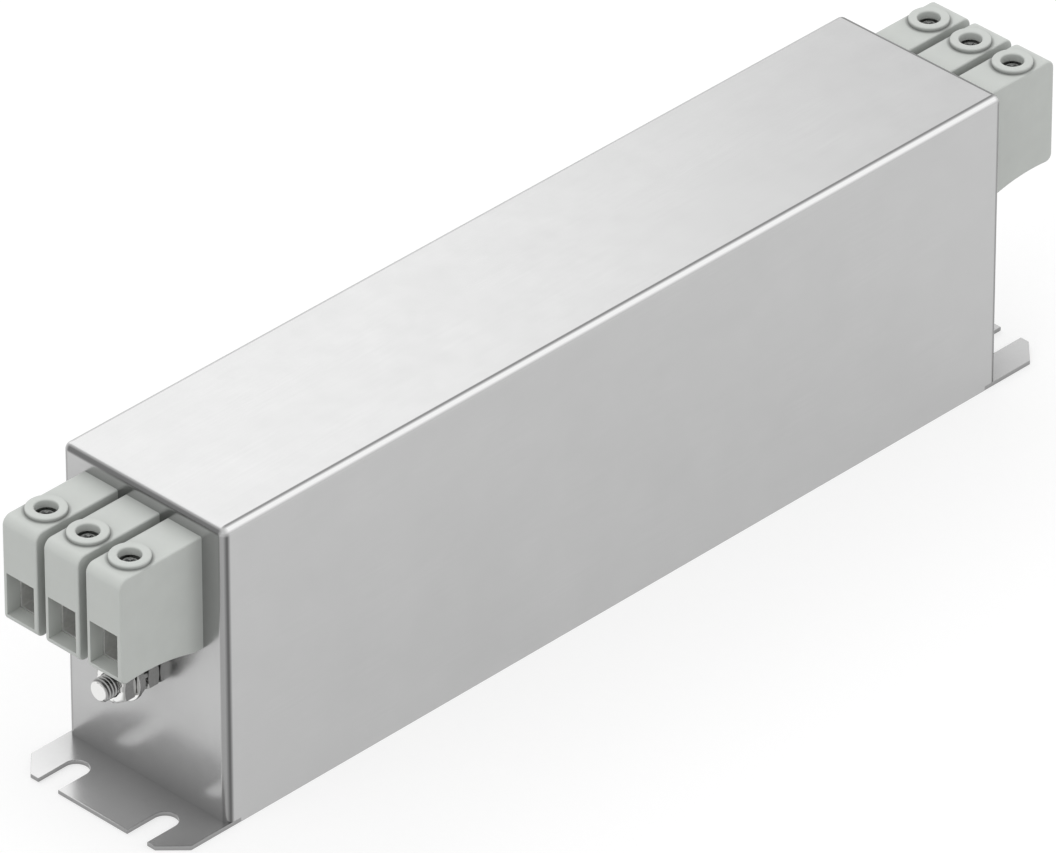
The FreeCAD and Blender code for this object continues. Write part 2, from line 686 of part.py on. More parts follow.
def discharge_resistor(number):
    """A flat resistor soldered onto the board."""
    y = phase_y(number, X_CAPACITOR_PITCH)
    z = (BOARD_TOP_Z, BOARD_TOP_Z + RESISTOR_HEIGHT)
    return box(about(RESISTOR_X, RESISTOR_WIDTH), about(y, RESISTOR_LENGTH), z)


def board_holes():
    """Every hole through the board: for posts, bar tails, winding legs, saddle pegs and pins."""
    z = (BOARD_Z, BOARD_TOP_Z)
    room = 2 * HOLE_CLEARANCE
    holes = [square_post(x, y, POST_TAIL_SIZE + room, z) for x, y in post_places()]
    tail_x = BAR_LEG_X + BAR_THICKNESS / 2
    for number in range(1, PHASES + 1):
        tail = box(about(tail_x, BAR_THICKNESS + room), about(phase_y(number), BAR_TAIL_WIDTH + room), z)
        holes += [tail, other_end(tail)]
        for angle in (winding_angles(number)[0], winding_angles(number)[-1]):
            leg_x = choke_point(WIRE_OUTER_RADIUS, 0, angle, LEG_Y).x
            holes.append(box(about(leg_x, WIRE_WIDTH + room), about(LEG_Y, WIRE_THICKNESS + room), z))
    holes += [square_post(0, y, SADDLE_PEG_SIZE + room, z) for y in saddle_peg_places()]
    pins = y_capacitor_pins(-1) + y_capacitor_pins(1)
    for number in range(1, PHASES + 1):
        pins += x_capacitor_pins(-1, number) + x_capacitor_pins(1, number)
    holes += [square_post(x, y, PIN_SIZE + room, z) for x, y in pins]
    return holes


def circuit_board():
    """Board that carries the choke, the capacitors and the resistors."""
    board = box(about(0, BOARD_LENGTH), about(0, BOARD_WIDTH), (BOARD_Z, BOARD_TOP_Z))
    return board.cut(board_holes())


def both_ends(shape):
    """A piece at the line end and its like at the load end."""
    return [shape, other_end(shape)]


def terminals():
    """The pieces of the six terminals, each in its own node, and their six screws in one."""
    nodes = {}
    screws = []
    for number in range(1, PHASES + 1):
        y = phase_y(number)
        pieces = {
            "terminal_housing": terminal_housing(),
            "clamp_cage": clamp_cage(),
            "current_bar": current_bar(),
        }
        for name, shape in pieces.items():
            at_line = moved(shape, y=y)
            nodes[f"{name}_line_{number}"] = at_line
            nodes[f"{name}_load_{PHASES + 1 - number}"] = other_end(at_line)
        screws += both_ends(moved(clamp_screw(), y=y))
    nodes["clamp_screws"] = Part.Compound(screws)
    return nodes


def earth_connections():
    """The earth studs and what is threaded onto them, the like pieces of both ends in one node."""
    places = ground_stack()
    nuts = both_ends(ground_nut(places["inner_nut"])) + both_ends(ground_nut(places["outer_nut"]))
    return {
        "ground_studs": Part.Compound(both_ends(ground_stud())),
        "ground_nuts": Part.Compound(nuts),
        "ground_flat_washers": Part.Compound(both_ends(washer(places["flat_washer"]))),
        "ground_spring_washers": Part.Compound(both_ends(spring_washer(places["spring_washer"]))),
        "ground_tooth_washers": Part.Compound(both_ends(tooth_washer(places["tooth_washer"]))),
    }


def choke():
    """The choke and its saddle."""
    nodes = {
        "choke_core": choke_core(),
        "choke_divider": choke_divider(),
        "choke_saddle": choke_saddle(),
    }
    for number in range(1, PHASES + 1):
        nodes[f"choke_winding_{number}"] = choke_winding(number)
    return nodes


def board_assembly():
    """The board, what holds it and what it carries beside the choke."""
    nodes = {
        "insulating_sheet": insulating_sheet(),
        "board_posts": Part.Compound([board_post(x, y) for x, y in post_places()]),
        "circuit_board": circuit_board(),
        "y_capacitor_line": y_capacitor(-1),
        "y_capacitor_load": y_capacitor(1),
    }
    for number in range(1, PHASES + 1):
        nodes[f"x_capacitor_line_{number}"] = x_capacitor(-1, number)
        nodes[f"x_capacitor_load_{number}"] = x_capacitor(1, number)
        nodes[f"discharge_resistor_{number}"] = discharge_resistor(number)
    return nodes


def main():
    """Build every piece and write one file for each node."""
    nodes = {"cover": cover(), "base_plate": base_plate()}
    nodes.update(terminals())
    nodes.update(earth_connections())
    nodes.update(choke())
    nodes.update(board_assembly())
    os.makedirs("parts", exist_ok=True)
    for name, shape in nodes.items():
        shape.exportStep(f"parts/{name}.step")
        print(f"{name}: {len(shape.Solids)} solid(s), {shape.Volume:.1f} mm3, valid {shape.isValid()}")


main()
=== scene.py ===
"""The look of a narrow line filter: satin tinned housing, grey moulded terminals and a threaded earth stud.

Lengths in this script are in millimetres until a mesh is made, and meshes are in metres. A piece that
stands at both ends is drawn for the line end, with X measured from the end wall, and Y from the middle
of its terminal or of the housing.
"""

import math

import bmesh
import bpy
from mathutils import Matrix, Vector


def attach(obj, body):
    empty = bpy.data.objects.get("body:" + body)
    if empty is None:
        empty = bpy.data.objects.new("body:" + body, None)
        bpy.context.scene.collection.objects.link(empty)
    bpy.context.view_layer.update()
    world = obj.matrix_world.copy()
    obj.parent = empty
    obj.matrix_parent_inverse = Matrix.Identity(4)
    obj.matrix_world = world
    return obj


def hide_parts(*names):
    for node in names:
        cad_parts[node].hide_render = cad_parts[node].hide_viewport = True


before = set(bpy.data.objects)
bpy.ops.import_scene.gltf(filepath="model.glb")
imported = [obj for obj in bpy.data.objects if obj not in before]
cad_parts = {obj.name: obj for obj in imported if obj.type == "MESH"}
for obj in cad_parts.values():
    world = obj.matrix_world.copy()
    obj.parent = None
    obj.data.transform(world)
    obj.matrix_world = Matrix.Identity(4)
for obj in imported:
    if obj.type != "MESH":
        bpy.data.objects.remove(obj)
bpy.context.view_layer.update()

MM = 0.001
BODY = "root"
PHASES = (1, 2, 3)

# The camera, as fitted to the photograph
PHOTO_WIDTH_PX = 1056
FOCAL_LENGTH_PX = 13847.13
SENSOR_WIDTH = 36.0
CAMERA_AZIMUTH = -45.451
CAMERA_ELEVATION = 33.803
CAMERA_ROLL = -0.023
CAMERA_DISTANCE = 2759.446
CAMERA_SIDE_SHIFT = -2.607
CAMERA_UP_SHIFT = -2.964
CAMERA_TARGET = Vector((0.0, 0.0, 35.0))

# Housing
HALF_LENGTH = 110.0
HALF_WIDTH = 22.5
HEIGHT = 70.0
SHEET = 1.0
EDGE_RADIUS = 1.8
EDGE_SEGMENTS = 12
ROOM_SEGMENTS = 4
FLANGE_END = 125.0
FLANGE_CHAMFER = 5.0
PLATE_STEP = 106.4
SLOT_X = 117.5
SLOT_Y = 12.5
SLOT_RADIUS = 2.8
SHEARED_EDGE = 0.12
FOOT_ROUND = 0.3
CUT_MARGIN = 2.0
TAB_PLACES = (-75.0, 0.0, 75.0)
TAB_LENGTH = 24.0
TAB_HEIGHT = 9.0
TAB_CORNER = 1.5
POST_X = 88.0
POST_Y = 14.5
POST_TAIL = 3.0

# Terminal housings
PITCH = 11.6
BLOCK_HALF_WIDTH = 4.75
BLOCK_REACH = 22.0
BLOCK_TOP = 66.0
BLOCK_TOP_RADIUS = 2.1
BLOCK_BOTTOM_RADIUS = 1.6
BLOCK_SIDE_ROUND = 0.4
ARCH_RADIUS = 45.0
ARCH_CREST_X = -16.0
ARCH_CREST_Z = 41.9
FOOT_LENGTH = 2.2
SCREW_X = -14.6
COLLAR_RADIUS = 4.25
COLLAR_HEIGHT = 0.9
COLLAR_ROUND = 0.3
COLLAR_MOUTH_ROUND = 0.35
COLLAR_BASE_DEPTH = 0.4
DRIVER_RADIUS = 2.4
ENTRY_HALF_WIDTH = 3.8
ENTRY_Z = (43.4, 53.1)
CHAMBER_X = (-18.5, -10.7)
CHAMBER_HALF_WIDTH = 4.2
CHAMBER_Z = (43.1, 65.1)
NECK_END_X = 4.6
NECK_Z = (47.3, 58.3)
NECK_CORNER = 0.6
NECK_CLEARANCE = 0.1
CHANNEL_HALF_WIDTH = 3.4
CHANNEL_Z = (52.0, 53.6)

# Clamps
CAGE_X = (-18.4, -10.8)
CAGE_HALF_WIDTH = 4.1
CAGE_Z = (43.1, 57.1)
CAGE_WALL = 0.6
CAGE_TOP = 3.0
CAGE_OUTER_CORNER = 0.8
CAGE_INNER_CORNER = 0.3
CAGE_EDGE = 0.08
SCREW_RADIUS = 2.0
SCREW_Z = (53.5, 65.0)
SCREW_FOOT_CHAMFER = 0.45
SCREW_RIM_CHAMFER = 0.35
RECESS_DEPTH = 1.4
RECESS_FLOOR = (0.7, 0.25)
RECESS_TOP = (1.4, 0.42)

# Earth stud, with X from the end wall
STUD_Z = 28.1
STUD_RADIUS = 2.5
STUD_PITCH = 0.8
STUD_THREAD_DEPTH = 0.46
STUD_THREAD_FLAT = 0.14
STUD_THREAD_END_X = -0.2
STUD_TIP_X = -12.9
STUD_TIP_CHAMFER = 0.55
STUD_HEAD_X = (1.0, 2.2)
STUD_HEAD_FLATS = 7.0
NUT_FLATS = 8.0
NUT_FACE_SHARES = (0.82, 0.94)
HEAD_FACE_SHARES = (0.98, 0.98)
NUT_SINK = 0.15
INNER_NUT_X = (-3.5, 0.0)
TOOTH_WASHER_X = (-4.3, -3.5)
SPRING_WASHER_X = (-5.3, -4.3)
FLAT_WASHER_X = (-6.3, -5.3)
OUTER_NUT_X = (-9.8, -6.3)
WASHER_RADII = (2.65, 5.0)
WASHER_ROUND = 0.12
SPRING_WASHER_RADII = (2.65, 4.6)
SPRING_WASHER_ROUND = 0.1
SPLIT_HALF_WIDTH = 0.4
SPLIT_SLANT = 0.45
TOOTH_RADII = (3.5, 4.5)
TOOTH_COUNT = 10
TOOTH_HALF_SHARE = 0.28
TOOTH_EDGE = 0.06

# Surroundings
AMBIENT_STRENGTH = 0.75
LAMP_AIM = Vector((0.0, 0.0, 40.0))
FLOOR_SIZE = 8000.0
FLOOR_GAP = 0.05
FLOOR_COLOUR = 0.47
FLOOR_WHITE = 0.58

# Steps round a turned mesh, and the turns past which an edge is rounded or looks sharp
TURN_STEPS = 64
ROUNDED_TURN = math.radians(30)
SHARP_TURN = math.radians(38)

# Colours of several finishes
TIN = (0.515, 0.515, 0.515)
# Bright zinc: the cage's own colour, and the painted highlight on the outer faces of the nuts and washers
BRIGHT_ZINC_AND_PAINTED_HIGHLIGHT = (0.86, 0.86, 0.85)


def arc(centre, radius, start, end, steps):
    """Points along an arc between two angles in degrees."""
    points = []
    for step in range(steps + 1):
        turn = math.radians(start + (end - start) * step / steps)
        points.append((centre[0] + radius * math.cos(turn), centre[1] + radius * math.sin(turn)))
    return points


def box_mesh(x, y, z):
    """A block between two values on each axis."""
    mesh = bmesh.new()
    bmesh.ops.create_cube(mesh, size=1.0)
    for vert in mesh.verts:
        vert.co = Vector((
            x[0] if vert.co.x < 0 else x[1],
            y[0] if vert.co.y < 0 else y[1],
            z[0] if vert.co.z < 0 else z[1],
        ))
    return mesh


def prism(outline, place, depth):
    """A closed outline of pairs pushed along an axis. place turns a pair and a depth into a point."""
    mesh = bmesh.new()
    rings = [[mesh.verts.new(place(a, b, level)) for a, b in outline] for level in depth]
    mesh.faces.new(rings[0])
    mesh.faces.new(list(reversed(rings[1])))
    count = len(outline)
    for index in range(count):
        after = (index + 1) % count
        mesh.faces.new((rings[0][index], rings[0][after], rings[1][after], rings[1][index]))
    bmesh.ops.recalc_face_normals(mesh, faces=mesh.faces)
    return mesh


def upright(a, b, level):
    """Places an outline of X and Y at a height."""
    return (a, b, level)


def sideways(a, b, level):
    """Places an outline of X and Z at a place across."""
    return (a, level, b)


def endways(a, b, level):
    """Places an outline of Y and Z at a place along."""
    return (level, a, b)


def revolved(profile, place):
    """A ring turned about an axis from a closed profile of radius and depth."""
    mesh = bmesh.new()
    rings = []
    for step in range(TURN_STEPS):
        turn = 2 * math.pi * step / TURN_STEPS
        cos, sin = math.cos(turn), math.sin(turn)
        rings.append([mesh.verts.new(place(radius * cos, radius * sin, depth)) for radius, depth in profile])
    count = len(profile)
    for ring, after in zip(rings, rings[1:] + rings[:1]):
        for index in range(count):
            ahead = (index + 1) % count
            mesh.faces.new((ring[index], ring[ahead], after[ahead], after[index]))
    bmesh.ops.recalc_face_normals(mesh, faces=mesh.faces)
    return mesh


def turned_solid(profile, place, steps=TURN_STEPS):
    """A solid turned about an axis from an open profile of radius and depth, closed by two discs."""
    mesh = bmesh.new()
    rings = []
    for radius, depth in profile:
        ring = []
        for step in range(steps):
            turn = 2 * math.pi * step / steps
            ring.append(mesh.verts.new(place(radius * math.cos(turn), radius * math.sin(turn), depth)))
        rings.append(ring)
    for ring, after in zip(rings, rings[1:]):
        for step in range(steps):
            ahead = (step + 1) % steps
            mesh.faces.new((ring[step], ring[ahead], after[ahead], after[step]))
    mesh.faces.new(rings[0])
    mesh.faces.new(rings[-1])
    bmesh.ops.recalc_face_normals(mesh, faces=mesh.faces)
    return mesh


def about_stud(a, b, level):
    """Places a pair round the stud's axis."""
    return (level, a, STUD_Z + b)


def about_screw(a, b, level):
    """Places a pair round a clamp screw's axis."""
    return (SCREW_X + a, b, level)


def rounded(mesh, edges, offset, segments, clamp=False):
    """Rounds some edges of a mesh."""
    bmesh.ops.bevel(
        mesh, geom=edges, offset=offset, offset_type="OFFSET", segments=segments, profile=0.5,
        affect="EDGES", clamp_overlap=clamp,
    )
    return mesh


def softened(mesh, offset, test, segments=2):
    """Rounds the edges of a mesh that turn by more than 30 degrees and pass a test."""
    edges = [
        edge for edge in mesh.edges
        if len(edge.link_faces) == 2 and edge.calc_face_angle() > ROUNDED_TURN and test(edge)
    ]
    return rounded(mesh, edges, offset, segments, clamp=True)


def span(edge, axis):
    """How far an edge reaches along an axis."""
    first, second = edge.verts
    return abs(first.co[axis] - second.co[axis])


def across_x(edge):
    """Whether an edge lies square to X."""
    return span(edge, 0) < 0.1


def scratch_object(mesh):
    """A passing object for a mesh, in millimetres."""
    data = bpy.data.meshes.new("scratch")
    mesh.to_mesh(data)
    mesh.free()
    item = bpy.data.objects.new("scratch", data)
    bpy.context.scene.collection.objects.link(item)
    return item


def combined(base, *steps):
    """A mesh after other meshes are joined to it, cut from it or kept in common with it, in turn."""
    holder = scratch_object(base)
    tools = []
    for operation, tool in steps:
        tools.append(scratch_object(tool))
        modifier = holder.modifiers.new("step", "BOOLEAN")
        modifier.operation = operation
        modifier.solver = "EXACT"
        modifier.object = tools[-1]
    bpy.context.view_layer.update()
    depsgraph = bpy.context.evaluated_depsgraph_get()
    data = bpy.data.meshes.new_from_object(holder.evaluated_get(depsgraph))
    result = bmesh.new()
    result.from_mesh(data)
    bpy.data.meshes.remove(data)
    for item in tools + [holder]:
        data = item.data
        bpy.data.objects.remove(item)
        bpy.data.meshes.remove(data)
    bmesh.ops.remove_doubles(result, verts=result.verts, dist=0.0005)
    return result


def gathered(*meshes):
    """One mesh from several that stay apart."""
    result = bmesh.new()
    for mesh in meshes:
        data = bpy.data.meshes.new("part")
        mesh.to_mesh(data)
        mesh.free()
        result.from_mesh(data)
        bpy.data.meshes.remove(data)
    return result


def finished(name, mesh, finish, slot):
    """The mesh data of a piece, smooth but for its sharp edges, in metres."""
    bmesh.ops.recalc_face_normals(mesh, faces=mesh.faces)
    data = bpy.data.meshes.new(name)
    mesh.to_mesh(data)
    mesh.free()
    data.transform(Matrix.Scale(MM, 4))
    data.shade_smooth()
    data.set_sharp_from_angle(angle=SHARP_TURN)
    data.materials.append(finish)
    data["slot"] = slot
    return data


def placed(name, data, nodes, matrix=Matrix.Identity(4)):
    """Puts in a piece made from mesh data, standing for CAD nodes."""
    piece = bpy.data.objects.new(name, data)
    piece.matrix_world = matrix
    bpy.context.scene.collection.objects.link(piece)
    modifier = piece.modifiers.new("normals", "WEIGHTED_NORMAL")
    modifier.keep_sharp = True
    modifier.weight = 90
    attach(piece, BODY)
    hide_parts(*nodes)


def end_matrix(end, y=0.0):
    """Where a piece drawn for the line end goes at an end, in metres."""
    if end == "line":
        return Matrix.Translation((-HALF_LENGTH * MM, y * MM, 0.0))
    return Matrix.Translation((HALF_LENGTH * MM, y * MM, 0.0)) @ Matrix.Rotation(math.pi, 4, "Z")


def phase_y(number):
    """The place across of a phase."""
    return (2 - number) * PITCH


class Nodes:
    """A material's node tree, with short names for the nodes that this script uses."""

    def __init__(self, name):
        self.material = bpy.data.materials.new(name)
        self.material.use_nodes = True
        self.tree = self.material.node_tree
        self.shader = self.tree.nodes["Principled BSDF"]
        coordinates = self.tree.nodes.new("ShaderNodeTexCoord")
        self.place = coordinates.outputs["Object"]
        self.facing = coordinates.outputs["Normal"]

    def link(self, source, target):
        """Links two sockets."""
        self.tree.links.new(source, target)

    def fill(self, socket, value):
        """Sets a socket to a number or a colour, or links it to another socket."""
        if isinstance(value, bpy.types.NodeSocket):
            self.link(value, socket)
        else:
            socket.default_value = (*value, 1.0) if isinstance(value, tuple) else value

    def axes(self, source):
        """The three parts of a vector."""
        node = self.tree.nodes.new("ShaderNodeSeparateXYZ")
        self.link(source, node.inputs["Vector"])
        return node.outputs["X"], node.outputs["Y"], node.outputs["Z"]

    def noise(self, size, stretch=(1.0, 1.0, 1.0), detail=3.0, roughness=0.5):
        """Noise with features of a size in millimetres, drawn out along an axis by a stretch."""
        mapping = self.tree.nodes.new("ShaderNodeMapping")
        mapping.inputs["Scale"].default_value = [1 / factor for factor in stretch]
        self.link(self.place, mapping.inputs["Vector"])
        node = self.tree.nodes.new("ShaderNodeTexNoise")
        node.inputs["Scale"].default_value = 1 / (size * MM)
        node.inputs["Detail"].default_value = detail
        node.inputs["Roughness"].default_value = roughness
        self.link(mapping.outputs["Vector"], node.inputs["Vector"])
        return node.outputs["Fac"]

    def spread(self, source, low, high, start=0.3, end=0.7):
        """A value between low and high as the source goes from start to end."""
        node = self.tree.nodes.new("ShaderNodeMapRange")
        node.inputs["From Min"].default_value = start
        node.inputs["From Max"].default_value = end
        node.inputs["To Min"].default_value = low
        node.inputs["To Max"].default_value = high
        self.link(source, node.inputs["Value"])
        return node.outputs["Result"]

    def blend(self, factor, first, second, kind="MIX"):
        """A colour between two colours or sockets, or one multiplied by the other."""
        node = self.tree.nodes.new("ShaderNodeMix")
        node.data_type = "RGBA"
        node.blend_type = kind
        for value, place in ((factor, 0), (first, 6), (second, 7)):
            self.fill(node.inputs[place], value)
        return node.outputs[2]

    def math(self, operation, first, second=None):
        """The result of a sum on sockets or numbers."""
        node = self.tree.nodes.new("ShaderNodeMath")
        node.operation = operation
        for value, socket in zip((first, second), node.inputs):
            if value is not None:
                self.fill(socket, value)
        return node.outputs["Value"]

    def distance(self, first, second):
        """How long a line is from its reach along two axes."""
        squares = self.math("ADD", self.math("POWER", first, 2.0), self.math("POWER", second, 2.0))
        return self.math("SQRT", squares)

    def past(self, source, face):
        """How far a coordinate is past the start of the bend that ends at a face."""
        return self.math("MAXIMUM", self.math("SUBTRACT", source, (face - EDGE_RADIUS) * MM), 0.0)

    def away(self, distance):
        """One where a bend isn't rounded off by another one, falling to nought within its first part."""
        return self.spread(distance, 1.0, 0.0, 0.0, EDGE_RADIUS * MM / 2)

    def ramp(self, source, stops):
        """A value that goes through stops of degrees and value, read at an angle in radians."""
        node = self.tree.nodes.new("ShaderNodeValToRGB")
        self.link(self.math("DIVIDE", source, math.pi / 2), node.inputs["Fac"])
        elements = node.color_ramp.elements
        elements.remove(elements[1])
        for index, (angle, value) in enumerate(stops):
            element = elements[0] if index == 0 else elements.new(angle / 90)
            element.position = angle / 90
            element.color = (value, value, value, 1.0)
        return node.outputs["Color"]

    def painted_corner_shade(self, colour, reach, darkest, where=None):
        """A colour with painted shade in corners, darker where ambient occlusion finds nearby surfaces, all
        over or where a mask is one.
        """
        node = self.tree.nodes.new("ShaderNodeAmbientOcclusion")
        node.samples = 8
        node.inputs["Distance"].default_value = reach * MM
        # Painted shade: the more occluded a point is, the nearer its colour goes to the darkest share
        shade = self.spread(node.outputs["AO"], 1.0, 0.0, 0.35, 1.0)
        if where is not None:
            shade = self.math("MULTIPLY", shade, where)
        return self.blend(shade, colour, (darkest, darkest, darkest), kind="MULTIPLY")

    def bump(self, height, depth, before=None):
        """A normal for a relief of a depth in millimetres."""
        node = self.tree.nodes.new("ShaderNodeBump")
        node.inputs["Distance"].default_value = depth * MM
        self.link(height, node.inputs["Height"])
        if before is not None:
            self.link(before, node.inputs["Normal"])
        return node.outputs["Normal"]

    def give(self, name, value):
        """Sets or links an input of the shader."""
        self.fill(self.shader.inputs[name], value)


def lighter(colour, factor):
    """A colour made lighter or darker by a factor."""
    return tuple(min(1.0, channel * factor) for channel in colour)


def painted_bend_light(nodes):
    """How dark and how bright the cover's bend lines are painted: painted shade and painted highlight bands
    that stand in for the reflections along each bend.
    """
    x, y, z = nodes.axes(nodes.place)
    past_x = nodes.past(nodes.math("ABSOLUTE", x), HALF_LENGTH)
    past_y = nodes.past(nodes.math("ABSOLUTE", y), HALF_WIDTH)
    past_z = nodes.past(z, HEIGHT)
    # Angles count from the roof, and at an upright corner from the end wall
    long_turn = nodes.math("ARCTAN2", past_y, past_z)
    on_long = nodes.ramp(long_turn, ((1, 0), (7, 0.75), (13, 0.75), (25, 0)))
    on_long = nodes.math("MULTIPLY", on_long, nodes.spread(y, 1.0, 0.25, -MM, MM))
    bright = nodes.ramp(long_turn, ((22, 0), (33, 1), (50, 1), (68, 0)))
    end_turn = nodes.math("ARCTAN2", past_x, past_z)
    on_near_end = nodes.ramp(end_turn, ((30, 0), (50, 0.9), (74, 0.9), (90, 0)))
    on_near_end = nodes.math("MULTIPLY", on_near_end, nodes.spread(x, 1.0, 0.0, -MM, MM))
    on_far_end = nodes.ramp(end_turn, ((2, 0), (10, 0.9), (74, 0.9), (90, 0)))
    on_far_end = nodes.math("MULTIPLY", on_far_end, nodes.spread(x, 0.0, 1.0, -MM, MM))
    on_end = nodes.math("ADD", on_near_end, on_far_end)
    on_corner = nodes.ramp(
        nodes.math("ARCTAN2", past_y, past_x), ((2, 0), (14, 0.48), (40, 0.48), (60, 1), (68, 1), (90, 0))
    )
    # Painted shade: dark bands on each bend, fading where another bend rounds it off; the bright band is a
    # painted highlight
    dark = nodes.math("MULTIPLY", on_long, nodes.away(past_x))
    dark = nodes.math("MAXIMUM", dark, nodes.math("MULTIPLY", on_end, nodes.away(past_y)))
    dark = nodes.math("MAXIMUM", dark, nodes.math("MULTIPLY", on_corner, nodes.away(past_z)))
    return dark, nodes.math("MULTIPLY", bright, nodes.away(past_x))


def sheet_metal(name, colour, roughness, with_painted_bend_light=False):
    """Tin-plated sheet: a soft mottle, a faint rolling grain along X and a roughness that varies, with
    painted corner shade, and where asked painted shade and highlight bands along each bend.
    """
    nodes = Nodes(name)
    mottle = nodes.noise(14.0, detail=4.0, roughness=0.6)
    grain = nodes.noise(0.5, stretch=(40.0, 1.0, 1.0), detail=2.0)
    cloud = nodes.blend(nodes.spread(mottle, 0.0, 1.0), lighter(colour, 0.98), lighter(colour, 1.02))
    surface = nodes.blend(nodes.spread(grain, 0.0, 0.35), cloud, lighter(colour, 0.95))
    where, darkest = None, 0.5
    if with_painted_bend_light:
        dark, bright = painted_bend_light(nodes)
        # Painted highlight and painted shade: bright and dark bands along each bend of the cover
        surface = nodes.blend(bright, surface, lighter(colour, 1.75))
        surface = nodes.blend(dark, surface, lighter(colour, 0.25))
        # The cover's painted corner shade is kept to its end walls and made weaker there; the plate's is all
        # over
        reach = nodes.math("ABSOLUTE", nodes.axes(nodes.place)[0])
        where = nodes.spread(reach, 0.0, 1.0, (HALF_LENGTH - 0.4) * MM, (HALF_LENGTH - 0.1) * MM)
        darkest = 0.8
    nodes.give("Base Color", nodes.painted_corner_shade(surface, 14.0, darkest, where))
    nodes.give("Metallic", 1.0)
    nodes.give("Roughness", nodes.spread(nodes.noise(5.0, detail=4.0), roughness - 0.02, roughness + 0.02))
    relief = nodes.bump(nodes.noise(0.35, stretch=(25.0, 1.0, 1.0)), 0.0012)
    nodes.give("Normal", nodes.bump(nodes.noise(30.0, detail=1.0), 0.004, relief))
    return nodes.material


def plated(name, colour, roughness, painted_highlight_colour=None):
    """Tumbled and plated hardware, with a painted highlight where it faces away from the wall."""
    nodes = Nodes(name)
    stain = nodes.spread(nodes.noise(0.8, detail=4.0), 0.0, 1.0)
    surface = nodes.blend(stain, lighter(colour, 0.93), lighter(colour, 1.05))
    if painted_highlight_colour is not None:
        # Painted highlight: faces turned away from the wall take a bright colour that stands in for a
        # reflection
        outwards = nodes.spread(nodes.axes(nodes.facing)[0], 1.0, 0.0, -0.99, -0.93)
        surface = nodes.blend(outwards, surface, painted_highlight_colour)
    nodes.give("Base Color", surface)
    nodes.give("Metallic", 1.0)
    nodes.give("Roughness", nodes.spread(nodes.noise(0.4), roughness - 0.04, roughness + 0.06))
    nodes.give("Normal", nodes.bump(nodes.noise(0.15), 0.002))
    return nodes.material


def threaded_steel(name, colour, roughness):
    """Plated steel, bright at its faced tip, with painted shade making the thread darker, darkest at its
    roots.
    """
    nodes = Nodes(name)
    x, y, z = nodes.axes(nodes.place)
    radius = nodes.distance(nodes.math("SUBTRACT", z, STUD_Z * MM), y)
    root = nodes.spread(radius, 1.0, 0.0, (STUD_RADIUS - STUD_THREAD_DEPTH) * MM, (STUD_RADIUS - 0.12) * MM)
    behind_face = nodes.spread(x, 0.0, 1.0, (STUD_TIP_X + 0.05) * MM, (STUD_TIP_X + 0.3) * MM)
    # Painted shade: the thread's crests take 0.45 of the colour and its roots 0.07
    painted_thread_shade = nodes.blend(root, lighter(colour, 0.45), lighter(colour, 0.07))
    nodes.give("Base Color", nodes.blend(behind_face, colour, painted_thread_shade))
    nodes.give("Metallic", 1.0)
    nodes.give("Roughness", nodes.spread(nodes.noise(0.5), roughness - 0.03, roughness + 0.06))
    nodes.give("Normal", nodes.bump(nodes.noise(0.15), 0.002))
    return nodes.material


def collar_foot_shade(nodes):
    """How near a point is to the crease at the foot of a terminal's collar, where shade is painted in."""
    x, y, z = nodes.axes(nodes.place)
    radius = nodes.distance(nodes.math("SUBTRACT", x, SCREW_X * MM), y)
    outwards = nodes.math("SUBTRACT", radius, COLLAR_RADIUS * MM)
    upwards = nodes.math("SUBTRACT", z, BLOCK_TOP * MM)
    return nodes.spread(nodes.distance(outwards, upwards), 1.0, 0.0, 0.1 * MM, 0.75 * MM)


def moulded(name, colour, roughness, relief=0.006, mottle=0.02, painted_crease_shade=None):
    """Moulded plastic: a very fine texture and slight clouds in the colour, with painted shade in its
    corners and at any crease that a mask gives.
    """
    nodes = Nodes(name)
    cloud = nodes.spread(nodes.noise(5.0), 0.0, 1.0)
    shade = nodes.blend(cloud, lighter(colour, 1 - mottle), lighter(colour, 1 + mottle))
    if painted_crease_shade is not None:
        # Painted shade: the colour halves at the crease that the mask marks
        shade = nodes.blend(painted_crease_shade(nodes), shade, lighter(colour, 0.5))
    # Painted shade in corners, from ambient occlusion within 4.5 mm
    nodes.give("Base Color", nodes.painted_corner_shade(shade, 4.5, 0.8))
    nodes.give("Roughness", nodes.spread(nodes.noise(1.5), roughness - 0.04, roughness + 0.04))
    nodes.give("Normal", nodes.bump(nodes.noise(0.12, detail=2.0), relief))
    nodes.give("Specular IOR Level", 0.4)
    return nodes.material


def laminate(name):
    """Green varnish over glass cloth, whose weave shows faintly."""
    nodes = Nodes(name)
    along = nodes.noise(0.5, stretch=(12.0, 1.0, 1.0), detail=1.0)
    across = nodes.noise(0.5, stretch=(1.0, 12.0, 1.0), detail=1.0)
    cloth = nodes.math("MULTIPLY", along, across)
    weave = nodes.spread(cloth, 0.0, 1.0, 0.15, 0.4)
    nodes.give("Base Color", nodes.blend(weave, (0.012, 0.085, 0.028), (0.022, 0.13, 0.045)))
    nodes.give("Roughness", nodes.spread(nodes.noise(2.0), 0.28, 0.38))
    nodes.give("Normal", nodes.bump(cloth, 0.01))
    return nodes.material


